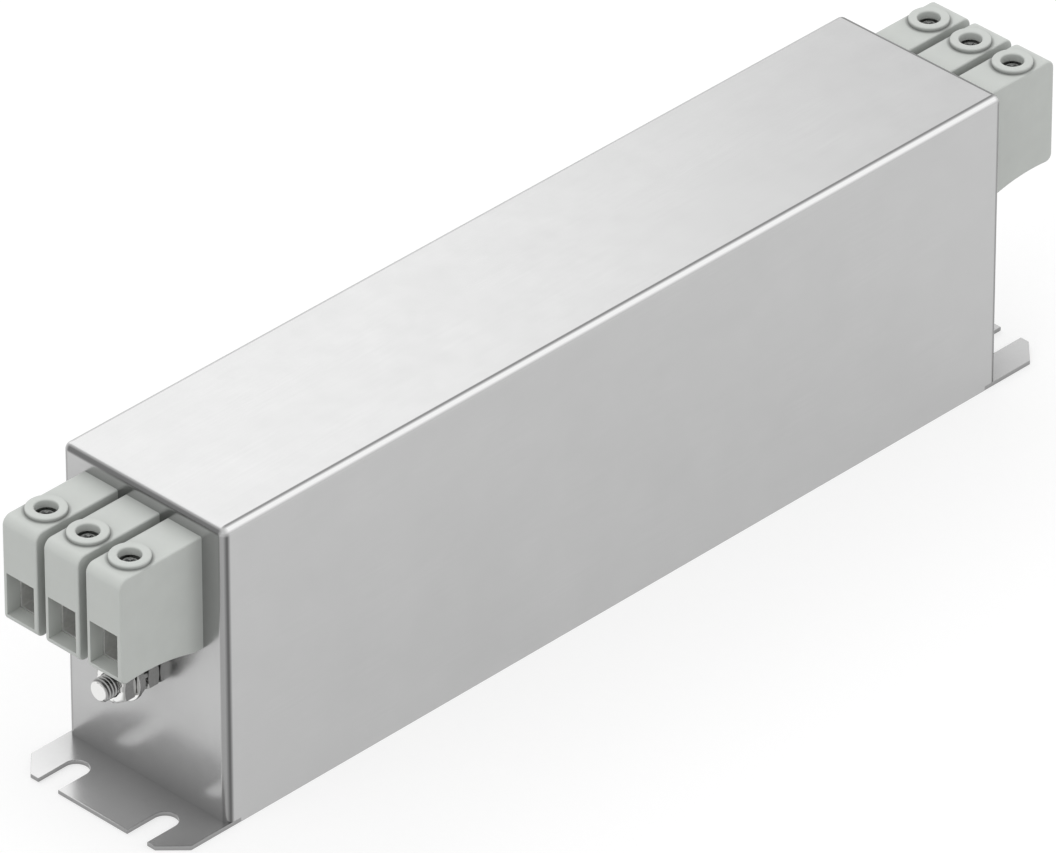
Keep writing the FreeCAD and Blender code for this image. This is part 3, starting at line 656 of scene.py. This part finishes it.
SHEET_METAL = sheet_metal("tinned_sheet", TIN, 0.23)
COVER_METAL = sheet_metal("tinned_cover", TIN, 0.23, with_painted_bend_light=True)
TERMINAL_PLASTIC = moulded("terminal_plastic", (0.59, 0.612, 0.587), 0.48, painted_crease_shade=collar_foot_shade)
CAGE_STEEL = plated("cage_steel", BRIGHT_ZINC_AND_PAINTED_HIGHLIGHT, 0.55)
SCREW_STEEL = plated("screw_steel", (0.52, 0.52, 0.52), 0.30)
STUD_STEEL = threaded_steel("stud_steel", (0.82, 0.82, 0.81), 0.15)
NUT_STEEL = plated("nut_steel", (0.37, 0.37, 0.365), 0.14, painted_highlight_colour=BRIGHT_ZINC_AND_PAINTED_HIGHLIGHT)
TINNED_COPPER = plated("tinned_copper", (0.60, 0.57, 0.53), 0.30)
ENAMEL = moulded("wire_enamel", (0.36, 0.10, 0.03), 0.22, relief=0.002, mottle=0.08)
FERRITE = moulded("coated_ferrite", (0.02, 0.06, 0.035), 0.40, relief=0.02, mottle=0.1)
BLACK_PLASTIC = moulded("black_plastic", (0.025, 0.025, 0.026), 0.5)
FILM = moulded("insulating_film", (0.72, 0.72, 0.66), 0.25, relief=0.001, mottle=0.04)
YELLOW_BOX = moulded("yellow_box", (0.60, 0.42, 0.05), 0.38)
BLUE_BOX = moulded("blue_box", (0.03, 0.09, 0.30), 0.38)
CERAMIC = moulded("resistor_ceramic", (0.16, 0.30, 0.28), 0.35, mottle=0.06)
BOARD = laminate("green_laminate")


def neck_slot(centre_y):
    """The opening for a terminal housing's neck, through both end walls."""
    y, cut = CHAMBER_HALF_WIDTH + NECK_CLEARANCE, NECK_CORNER
    low, high = NECK_Z[0] - NECK_CLEARANCE, NECK_Z[1] + NECK_CLEARANCE
    outline = [
        (-y + cut, low), (y - cut, low), (y, low + cut), (y, high - cut),
        (y - cut, high), (-y + cut, high), (-y, high - cut), (-y, low + cut),
    ]
    outline = [(centre_y + a, b) for a, b in outline]
    return prism(outline, endways, (-HALF_LENGTH - CUT_MARGIN, HALF_LENGTH + CUT_MARGIN))


def folded_box(inset, foot, radius, segments):
    """A block as large as the housing less an inset, down to its foot, rounded at its roof and corners."""
    long, wide = HALF_LENGTH - inset, HALF_WIDTH - inset
    mesh = box_mesh((-long, long), (-wide, wide), (foot, HEIGHT - inset))
    edges = [edge for edge in mesh.edges if max(vert.co.z for vert in edge.verts) > HEIGHT / 2]
    return rounded(mesh, edges, radius, segments)


def cover_mesh():
    """The folded cover, five-sided, with the openings for the terminals and the studs."""
    shell = folded_box(0.0, 0.0, EDGE_RADIUS, EDGE_SEGMENTS)
    cuts = [folded_box(SHEET, -CUT_MARGIN, EDGE_RADIUS - SHEET, ROOM_SEGMENTS)]
    past_end, past_side = HALF_LENGTH + CUT_MARGIN, HALF_WIDTH + CUT_MARGIN
    for x in ((-past_end, -PLATE_STEP), (PLATE_STEP, past_end)):
        cuts.append(box_mesh(x, (-past_side, past_side), (-CUT_MARGIN, SHEET)))
    cuts += [neck_slot(phase_y(number)) for number in PHASES]
    cuts.append(turned_solid([(STUD_RADIUS, -past_end), (STUD_RADIUS, past_end)], about_stud))
    result = combined(shell, *[("DIFFERENCE", cut) for cut in cuts])

    def foot(edge):
        """Whether an edge is the outer lower one of a wall."""
        first, second = (vert.co for vert in edge.verts)
        if span(edge, 2) > 0.01 or first.z > SHEET + 0.01:
            return False
        at_end = min(abs(first.x), abs(second.x)) > HALF_LENGTH - 0.01
        return at_end or min(abs(first.y), abs(second.y)) > HALF_WIDTH - 0.01

    return softened(result, FOOT_ROUND, foot)


def plate_outline():
    """The base plate seen from above, with slots open at the ends of its flanges."""
    inner = HALF_WIDTH - SHEET
    quarter = [
        (PLATE_STEP, inner),
        (PLATE_STEP, HALF_WIDTH),
        (FLANGE_END - FLANGE_CHAMFER, HALF_WIDTH),
        (FLANGE_END, HALF_WIDTH - FLANGE_CHAMFER),
        (FLANGE_END, SLOT_Y + SLOT_RADIUS),
    ]
    quarter += arc((SLOT_X, SLOT_Y), SLOT_RADIUS, 90.0, 270.0, 32)
    quarter.append((FLANGE_END, SLOT_Y - SLOT_RADIUS))
    half = quarter + [(a, -b) for a, b in reversed(quarter)]
    return half + [(-a, -b) for a, b in half]


def tab_mesh(x, side):
    """A tab bent up from the plate's edge, rounded at its corners."""
    outer, inner = HALF_WIDTH - SHEET, HALF_WIDTH - 2 * SHEET
    reach = TAB_LENGTH / 2
    inset, level = reach - TAB_CORNER, TAB_HEIGHT - TAB_CORNER
    outline = [(x - reach, SHEET / 2), (x + reach, SHEET / 2)]
    outline += arc((x + inset, level), TAB_CORNER, 0.0, 90.0, 6)
    outline += arc((x - inset, level), TAB_CORNER, 90.0, 180.0, 6)
    return prism(outline, sideways, (side * inner, side * outer))


def plate_mesh():
    """The base plate, with its sheared edges a little rounded and six tabs bent up inside the cover."""
    flat = prism(plate_outline(), upright, (0.0, SHEET))
    softened(flat, SHEARED_EDGE, lambda edge: span(edge, 2) < 0.1)
    steps = [("UNION", tab_mesh(x, side)) for x in TAB_PLACES for side in (-1, 1)]
    half = POST_TAIL / 2
    for x in (-POST_X, POST_X):
        for y in (-POST_Y, POST_Y):
            hole = box_mesh((x - half, x + half), (y - half, y + half), (-1.0, SHEET + 1))
            steps.append(("DIFFERENCE", hole))
    return combined(flat, *steps)


def arch_z(x):
    """The height of the arched underside of a terminal housing."""
    return ARCH_CREST_Z - ARCH_RADIUS + math.sqrt(ARCH_RADIUS**2 - (x - ARCH_CREST_X) ** 2)


def block_outline():
    """The side of a terminal housing: rounded nose, arched underside and a flat foot at the wall."""
    nose = (-BLOCK_REACH + BLOCK_TOP_RADIUS, BLOCK_TOP - BLOCK_TOP_RADIUS)
    chin_x = -BLOCK_REACH + BLOCK_BOTTOM_RADIUS
    chin = (chin_x, arch_z(chin_x) + BLOCK_BOTTOM_RADIUS)
    outline = [(0.0, BLOCK_TOP)]
    outline += arc(nose, BLOCK_TOP_RADIUS, 90.0, 180.0, 12)
    outline += arc(chin, BLOCK_BOTTOM_RADIUS, 180.0, 270.0, 8)
    arch_steps = 20
    for step in range(1, arch_steps + 1):
        x = chin_x + (-FOOT_LENGTH - chin_x) * step / arch_steps
        outline.append((x, arch_z(x)))
    outline.append((0.0, arch_z(-FOOT_LENGTH)))
    return outline


def collar_profile():
    """The raised ring round the driver hole, let into the roof, with rounded rims."""
    top = BLOCK_TOP + COLLAR_HEIGHT
    base = BLOCK_TOP - COLLAR_BASE_DEPTH
    rim = (COLLAR_RADIUS - COLLAR_ROUND, top - COLLAR_ROUND)
    mouth = (DRIVER_RADIUS + COLLAR_MOUTH_ROUND, top - COLLAR_MOUTH_ROUND)
    profile = [(COLLAR_RADIUS, base)]
    profile += arc(rim, COLLAR_ROUND, 0.0, 90.0, 6)
    profile += arc(mouth, COLLAR_MOUTH_ROUND, 90.0, 180.0, 6)
    profile.append((DRIVER_RADIUS, base))
    return profile


def terminal_mesh():
    """A terminal housing in one piece."""
    block = prism(block_outline(), sideways, (-BLOCK_HALF_WIDTH, BLOCK_HALF_WIDTH))

    def on_a_side(edge):
        """Whether an edge bounds a side face, away from the wall."""
        return span(edge, 1) < 0.01 and max(abs(vert.co.x) for vert in edge.verts) > 0.01

    rounded(block, [edge for edge in block.edges if on_a_side(edge)], BLOCK_SIDE_ROUND, 6)
    chamber_y = (-CHAMBER_HALF_WIDTH, CHAMBER_HALF_WIDTH)
    sleeve = box_mesh((-1.0, NECK_END_X), chamber_y, NECK_Z)
    softened(sleeve, NECK_CORNER, lambda edge: span(edge, 0) > 1.0, 3)
    entry = box_mesh((-BLOCK_REACH - 1, CHAMBER_X[0] + 0.1), (-ENTRY_HALF_WIDTH, ENTRY_HALF_WIDTH), ENTRY_Z)
    chamber = box_mesh(CHAMBER_X, chamber_y, CHAMBER_Z)
    channel_x = (CHAMBER_X[1] - 0.1, NECK_END_X + 1)
    channel = box_mesh(channel_x, (-CHANNEL_HALF_WIDTH, CHANNEL_HALF_WIDTH), CHANNEL_Z)
    driver_z = (CHAMBER_Z[1] - 0.1, BLOCK_TOP + 0.1)
    driver_hole = turned_solid([(DRIVER_RADIUS, z) for z in driver_z], about_screw)
    return combined(
        block,
        ("DIFFERENCE", driver_hole),
        ("UNION", revolved(collar_profile(), about_screw)),
        ("UNION", sleeve),
        ("DIFFERENCE", entry),
        ("DIFFERENCE", chamber),
        ("DIFFERENCE", channel),
    )


def rounded_rectangle(a, b, radius, steps=5):
    """The outline of a rectangle between two values on each of two axes, with rounded corners."""
    corners = [
        ((a[1] - radius, b[1] - radius), 0.0),
        ((a[0] + radius, b[1] - radius), 90.0),
        ((a[0] + radius, b[0] + radius), 180.0),
        ((a[1] - radius, b[0] + radius), 270.0),
    ]
    points = []
    for centre, start in corners:
        points += arc(centre, radius, start, start + 90.0, steps)
    return points


def cage_mesh():
    """The clamp's cage, bent from strip, with a threaded hole through its double top."""
    width = CAGE_HALF_WIDTH
    outside = prism(rounded_rectangle((-width, width), CAGE_Z, CAGE_OUTER_CORNER), endways, CAGE_X)
    softened(outside, CAGE_EDGE, across_x)
    inner = width - CAGE_WALL
    opening_z = (CAGE_Z[0] + CAGE_WALL, CAGE_Z[1] - CAGE_TOP)
    opening = rounded_rectangle((-inner, inner), opening_z, CAGE_INNER_CORNER)
    room = prism(opening, endways, (CAGE_X[0] - 1, CAGE_X[1] + 1))
    thread_z = (CAGE_Z[1] - CAGE_TOP - 0.5, CAGE_Z[1] + 0.5)
    thread = turned_solid([(SCREW_RADIUS, z) for z in thread_z], about_screw, 32)
    return combined(outside, ("DIFFERENCE", room), ("DIFFERENCE", thread))


def recess_arm(turn):
    """The block that cuts one arm of the screw's cross recess, wider above than at its floor."""
    arm = bmesh.new()
    signs = ((-1, -1), (1, -1), (1, 1), (-1, 1))
    levels = ((RECESS_FLOOR, SCREW_Z[1] - RECESS_DEPTH), (RECESS_TOP, SCREW_Z[1] + 0.3))
    bottom, top = ([arm.verts.new((sx * x, sy * y, z)) for sx, sy in signs] for (x, y), z in levels)
    arm.faces.new(list(reversed(bottom)))
    arm.faces.new(top)
    for index in range(4):
        ahead = (index + 1) % 4
        arm.faces.new((bottom[index], bottom[ahead], top[ahead], top[index]))
    arm.transform(Matrix.Translation((SCREW_X, 0, 0)) @ Matrix.Rotation(turn, 4, "Z"))
    return arm


def screw_mesh():
    """The clamp's headless screw, with a chamfered rim and a tapered cross recess."""
    low, high = SCREW_Z
    body = turned_solid([
        (SCREW_RADIUS - SCREW_FOOT_CHAMFER, low),
        (SCREW_RADIUS, low + SCREW_FOOT_CHAMFER),
        (SCREW_RADIUS, high - SCREW_RIM_CHAMFER),
        (SCREW_RADIUS - SCREW_RIM_CHAMFER, high),
    ], about_screw, 48)
    return combined(body, *[("DIFFERENCE", recess_arm(turn)) for turn in (0.0, math.pi / 2)])


def threaded_shank():
    """The stud's shank, with a real helical thread and a chamfered tip."""
    steps, rows = 48, 10
    start, end = STUD_TIP_X, STUD_THREAD_END_X
    mesh = bmesh.new()
    grid = []
    turns = int((end - start) / STUD_PITCH) + 3
    for row in range(turns * rows + 1):
        phase = (row % rows) / rows
        rise = (abs(2 * phase - 1) - STUD_THREAD_FLAT) / (1 - 2 * STUD_THREAD_FLAT)
        rise = min(1.0, max(0.0, rise))
        line = []
        for step in range(steps):
            turn = step / steps
            x = start + (row / rows - 1.5 + turn) * STUD_PITCH
            radius = STUD_RADIUS - STUD_THREAD_DEPTH * rise
            radius = min(radius, STUD_RADIUS - STUD_TIP_CHAMFER + max(0.0, x - start))
            angle = 2 * math.pi * turn
            line.append(mesh.verts.new((x, radius * math.cos(angle), STUD_Z + radius * math.sin(angle))))
        grid.append(line)
    for row in range(len(grid) - 1):
        here, above = grid[row], grid[row + 1]
        for step in range(steps - 1):
            mesh.faces.new((here[step], here[step + 1], above[step + 1], above[step]))
        if row + rows + 1 < len(grid):
            mesh.faces.new((here[-1], grid[row + rows][0], grid[row + rows + 1][0], above[-1]))
    for place, side in ((start, -1), (end, 1)):
        cut = bmesh.ops.bisect_plane(
            mesh, geom=mesh.verts[:] + mesh.edges[:] + mesh.faces[:], dist=1e-5, plane_co=(place, 0, 0),
            plane_no=(side, 0, 0), clear_outer=True,
        )
        rim = [item for item in cut["geom_cut"] if isinstance(item, bmesh.types.BMEdge)]
        bmesh.ops.edgeloop_fill(mesh, edges=rim)
    return mesh


def hexagon_mesh(x, across_flats, face_shares):
    """A six-sided bar, each end of it chamfered at 30 degrees outside a share of the flats' radius."""
    corner = across_flats / math.sqrt(3)
    turns = [math.radians(60 * step) for step in range(6)]
    bar = prism([(corner * math.sin(turn), corner * math.cos(turn)) for turn in turns], about_stud, x)
    slope = math.tan(math.radians(30))
    outside = corner + 0.5
    first, last = (across_flats / 2 * share for share in face_shares)
    lens = [
        (first, x[0]), (outside, x[0] + (outside - first) * slope),
        (outside, x[1] - (outside - last) * slope), (last, x[1]),
    ]
    return combined(bar, ("INTERSECT", turned_solid(lens, about_stud, 96)))


def nut_mesh(x):
    """A nut, with its thread's mouth countersunk at both faces."""
    mouth = STUD_RADIUS + NUT_SINK
    bore = turned_solid([
        (mouth, x[0] - 0.01), (mouth, x[0]), (STUD_RADIUS, x[0] + NUT_SINK),
        (STUD_RADIUS, x[1] - NUT_SINK), (mouth, x[1]), (mouth, x[1] + 0.01),
    ], about_stud)
    return combined(hexagon_mesh(x, NUT_FLATS, NUT_FACE_SHARES), ("DIFFERENCE", bore))


def stud_mesh():
    """The stud: a threaded shank, a plain length in the wall and a six-sided head inside."""
    neck = turned_solid([(STUD_RADIUS, STUD_THREAD_END_X), (STUD_RADIUS, STUD_HEAD_X[0])], about_stud)
    head = hexagon_mesh(STUD_HEAD_X, STUD_HEAD_FLATS, HEAD_FACE_SHARES)
    return gathered(threaded_shank(), neck, head)


def flat_washer_mesh():
    """A flat washer, with its edges rounded by stamping."""
    return revolved(rounded_rectangle(WASHER_RADII, FLAT_WASHER_X, WASHER_ROUND, 3), about_stud)


def spring_washer_mesh():
    """A split spring washer, pressed flat, with a slanting split at the top."""
    section = rounded_rectangle(SPRING_WASHER_RADII, SPRING_WASHER_X, SPRING_WASHER_ROUND, 3)
    before, behind = SPRING_WASHER_X[0] - 0.1, SPRING_WASHER_X[1] + 0.1
    outline = [
        (before, -SPLIT_SLANT - SPLIT_HALF_WIDTH), (before, -SPLIT_SLANT + SPLIT_HALF_WIDTH),
        (behind, SPLIT_SLANT + SPLIT_HALF_WIDTH), (behind, SPLIT_SLANT - SPLIT_HALF_WIDTH),
    ]
    split = prism(outline, upright, (STUD_Z, STUD_Z + 6))
    return combined(revolved(section, about_stud), ("DIFFERENCE", split))


def tooth_washer_mesh():
    """A washer with teeth round its rim."""
    points = []
    for step in range(2 * TOOTH_COUNT):
        for shift in (-TOOTH_HALF_SHARE, TOOTH_HALF_SHARE):
            turn = math.pi * (step + shift) / TOOTH_COUNT
            radius = TOOTH_RADII[(step + 1) % 2]
            points.append((radius * math.sin(turn), radius * math.cos(turn)))
    star = prism(points, about_stud, TOOTH_WASHER_X)
    softened(star, TOOTH_EDGE, across_x)
    radius, (low, high) = WASHER_RADII[0], TOOTH_WASHER_X
    hole = turned_solid([(radius, low - 1), (radius, high + 1)], about_stud)
    return combined(star, ("DIFFERENCE", hole))


def add_terminals():
    """The six terminals: housing, cage and clamp screw."""
    housing = finished("terminal_housing", terminal_mesh(), TERMINAL_PLASTIC, "terminal_plastic")
    cage = finished("clamp_cage", cage_mesh(), CAGE_STEEL, "cage_steel")
    screw = finished("clamp_screw", screw_mesh(), SCREW_STEEL, "screw_steel")
    for end in ("line", "load"):
        for number in PHASES:
            matrix = end_matrix(end, phase_y(number))
            mark = f"{end}_{number}"
            placed(f"terminal_{mark}", housing, [f"terminal_housing_{mark}"], matrix)
            placed(f"cage_{mark}", cage, [f"clamp_cage_{mark}"], matrix)
            placed(f"screw_{mark}", screw, ["clamp_screws"], matrix)


def add_earth_studs():
    """The earth stud at each end, with its nuts and washers."""
    stud = finished("stud", stud_mesh(), STUD_STEEL, "stud_steel")
    pieces = [
        ("inner_nut", nut_mesh(INNER_NUT_X), "ground_nuts"),
        ("outer_nut", nut_mesh(OUTER_NUT_X), "ground_nuts"),
        ("flat_washer", flat_washer_mesh(), "ground_flat_washers"),
        ("spring_washer", spring_washer_mesh(), "ground_spring_washers"),
        ("tooth_washer", tooth_washer_mesh(), "ground_tooth_washers"),
    ]
    pieces = [(name, finished(name, mesh, NUT_STEEL, "nut_steel"), node) for name, mesh, node in pieces]
    for end in ("line", "load"):
        placed(f"stud_{end}", stud, ["ground_studs"], end_matrix(end))
        for name, data, node in pieces:
            placed(f"{name}_{end}", data, [node], end_matrix(end))


def dress_inner_nodes():
    """The finish of the CAD nodes that keep their own meshes."""
    finishes = {
        "current_bar": TINNED_COPPER,
        "choke_winding": ENAMEL,
        "choke_core": FERRITE,
        "choke_divider": BLACK_PLASTIC,
        "choke_saddle": BLACK_PLASTIC,
        "insulating_sheet": FILM,
        "board_posts": SCREW_STEEL,
        "circuit_board": BOARD,
        "x_capacitor": YELLOW_BOX,
        "y_capacitor": BLUE_BOX,
        "discharge_resistor": CERAMIC,
    }
    for name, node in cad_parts.items():
        for start, finish in finishes.items():
            if name.startswith(start):
                node.data.materials.clear()
                node.data.materials.append(finish)


def seen_directly(tree):
    """One for a ray from the camera, or one mirrored or let through by a piece, and otherwise nought."""
    path = tree.nodes.new("ShaderNodeLightPath")
    total = path.outputs["Is Camera Ray"]
    for name in ("Is Glossy Ray", "Is Transmission Ray"):
        add = tree.nodes.new("ShaderNodeMath")
        add.operation = "ADD"
        add.use_clamp = True
        tree.links.new(total, add.inputs[0])
        tree.links.new(path.outputs[name], add.inputs[1])
        total = add.outputs["Value"]
    return total


def add_world():
    """A plain white surround, which lights the object evenly."""
    world = bpy.data.worlds.new("studio")
    bpy.context.scene.world = world
    world.use_nodes = True
    tree = world.node_tree
    ambient = tree.nodes["Background"]
    ambient.inputs["Color"].default_value = (1.0, 1.0, 1.0, 1.0)
    ambient.inputs["Strength"].default_value = AMBIENT_STRENGTH
    white = tree.nodes.new("ShaderNodeBackground")
    white.inputs["Color"].default_value = (1.0, 1.0, 1.0, 1.0)
    white.inputs["Strength"].default_value = 1.0
    mix = tree.nodes.new("ShaderNodeMixShader")
    tree.links.new(seen_directly(tree), mix.inputs["Fac"])
    tree.links.new(ambient.outputs["Background"], mix.inputs[1])
    tree.links.new(white.outputs["Background"], mix.inputs[2])
    tree.links.new(mix.outputs["Shader"], tree.nodes["World Output"].inputs["Surface"])


def add_floor():
    """A plain white floor, on which the object's shadow shows softly."""
    mesh = bmesh.new()
    bmesh.ops.create_grid(mesh, x_segments=1, y_segments=1, size=FLOOR_SIZE / 2)
    data = bpy.data.meshes.new("floor")
    mesh.to_mesh(data)
    mesh.free()
    data.transform(Matrix.Translation((0, 0, -FLOOR_GAP * MM)) @ Matrix.Scale(MM, 4))
    finish = bpy.data.materials.new("floor_white")
    finish.use_nodes = True
    tree = finish.node_tree
    tree.nodes.remove(tree.nodes["Principled BSDF"])
    matt = tree.nodes.new("ShaderNodeBsdfDiffuse")
    matt.inputs["Color"].default_value = (FLOOR_COLOUR, FLOOR_COLOUR, FLOOR_COLOUR, 1.0)
    glow = tree.nodes.new("ShaderNodeEmission")
    level = tree.nodes.new("ShaderNodeMath")
    level.operation = "MULTIPLY"
    level.inputs[1].default_value = FLOOR_WHITE
    tree.links.new(seen_directly(tree), level.inputs[0])
    tree.links.new(level.outputs["Value"], glow.inputs["Strength"])
    both = tree.nodes.new("ShaderNodeAddShader")
    tree.links.new(matt.outputs["BSDF"], both.inputs[0])
    tree.links.new(glow.outputs["Emission"], both.inputs[1])
    tree.links.new(both.outputs["Shader"], tree.nodes["Material Output"].inputs["Surface"])
    data.materials.append(finish)
    floor = bpy.data.objects.new("floor", data)
    bpy.context.scene.collection.objects.link(floor)


def add_softbox(name, direction, distance, size, power, mirrored=False):
    """A square lamp in a direction from a point in the housing, which the metal mirrors or not."""
    data = bpy.data.lights.new(name, "AREA")
    data.shape = "SQUARE"
    data.size = size * MM
    data.energy = power
    lamp = bpy.data.objects.new(name, data)
    toward = Vector(direction).normalized()
    turn = toward.to_track_quat("Z", "Y").to_matrix().to_4x4()
    lamp.matrix_world = Matrix.Translation((LAMP_AIM + toward * distance) * MM) @ turn
    lamp.visible_camera = False
    lamp.visible_glossy = mirrored
    bpy.context.scene.collection.objects.link(lamp)


def add_lamps():
    """One large soft lamp behind that the top mirrors, and one each at the right and the left."""
    add_softbox("lamp_behind", (0.25, 0.76, 0.72), 2090.0, 1875.0, 7.9, mirrored=True)
    add_softbox("lamp_right", (0.59, -0.63, 0.50), 1000.0, 850.0, 1.75)
    add_softbox("lamp_left", (-0.82, -0.10, 0.55), 1400.0, 1300.0, 3.9)


def add_camera():
    """The camera at the photograph's viewpoint."""
    azimuth = math.radians(CAMERA_AZIMUTH)
    elevation = math.radians(CAMERA_ELEVATION)
    back = Vector((
        math.sin(azimuth) * math.cos(elevation),
        -math.cos(azimuth) * math.cos(elevation),
        math.sin(elevation),
    ))
    right = Vector((0.0, 0.0, 1.0)).cross(back).normalized()
    up = back.cross(right)
    data = bpy.data.cameras.new("camera")
    data.sensor_fit = "HORIZONTAL"
    data.sensor_width = SENSOR_WIDTH
    data.lens = FOCAL_LENGTH_PX / PHOTO_WIDTH_PX * SENSOR_WIDTH
    data.clip_start = 0.1
    data.clip_end = 100.0
    camera = bpy.data.objects.new("camera", data)
    place = CAMERA_TARGET + back * CAMERA_DISTANCE + right * CAMERA_SIDE_SHIFT + up * CAMERA_UP_SHIFT
    turn = Matrix((right, up, back)).transposed() @ Matrix.Rotation(math.radians(CAMERA_ROLL), 3, "Z")
    camera.matrix_world = Matrix.Translation(place * MM) @ turn.to_4x4()
    bpy.context.scene.collection.objects.link(camera)
    bpy.context.scene.camera = camera


bpy.context.scene.view_settings.view_transform = "Standard"
placed("cover_shell", finished("cover_shell", cover_mesh(), COVER_METAL, "housing_steel"), ["cover"])
placed("plate", finished("plate", plate_mesh(), SHEET_METAL, "housing_steel"), ["base_plate"])
add_terminals()
add_earth_studs()
dress_inner_nodes()
add_world()
add_floor()
add_lamps()
add_camera()
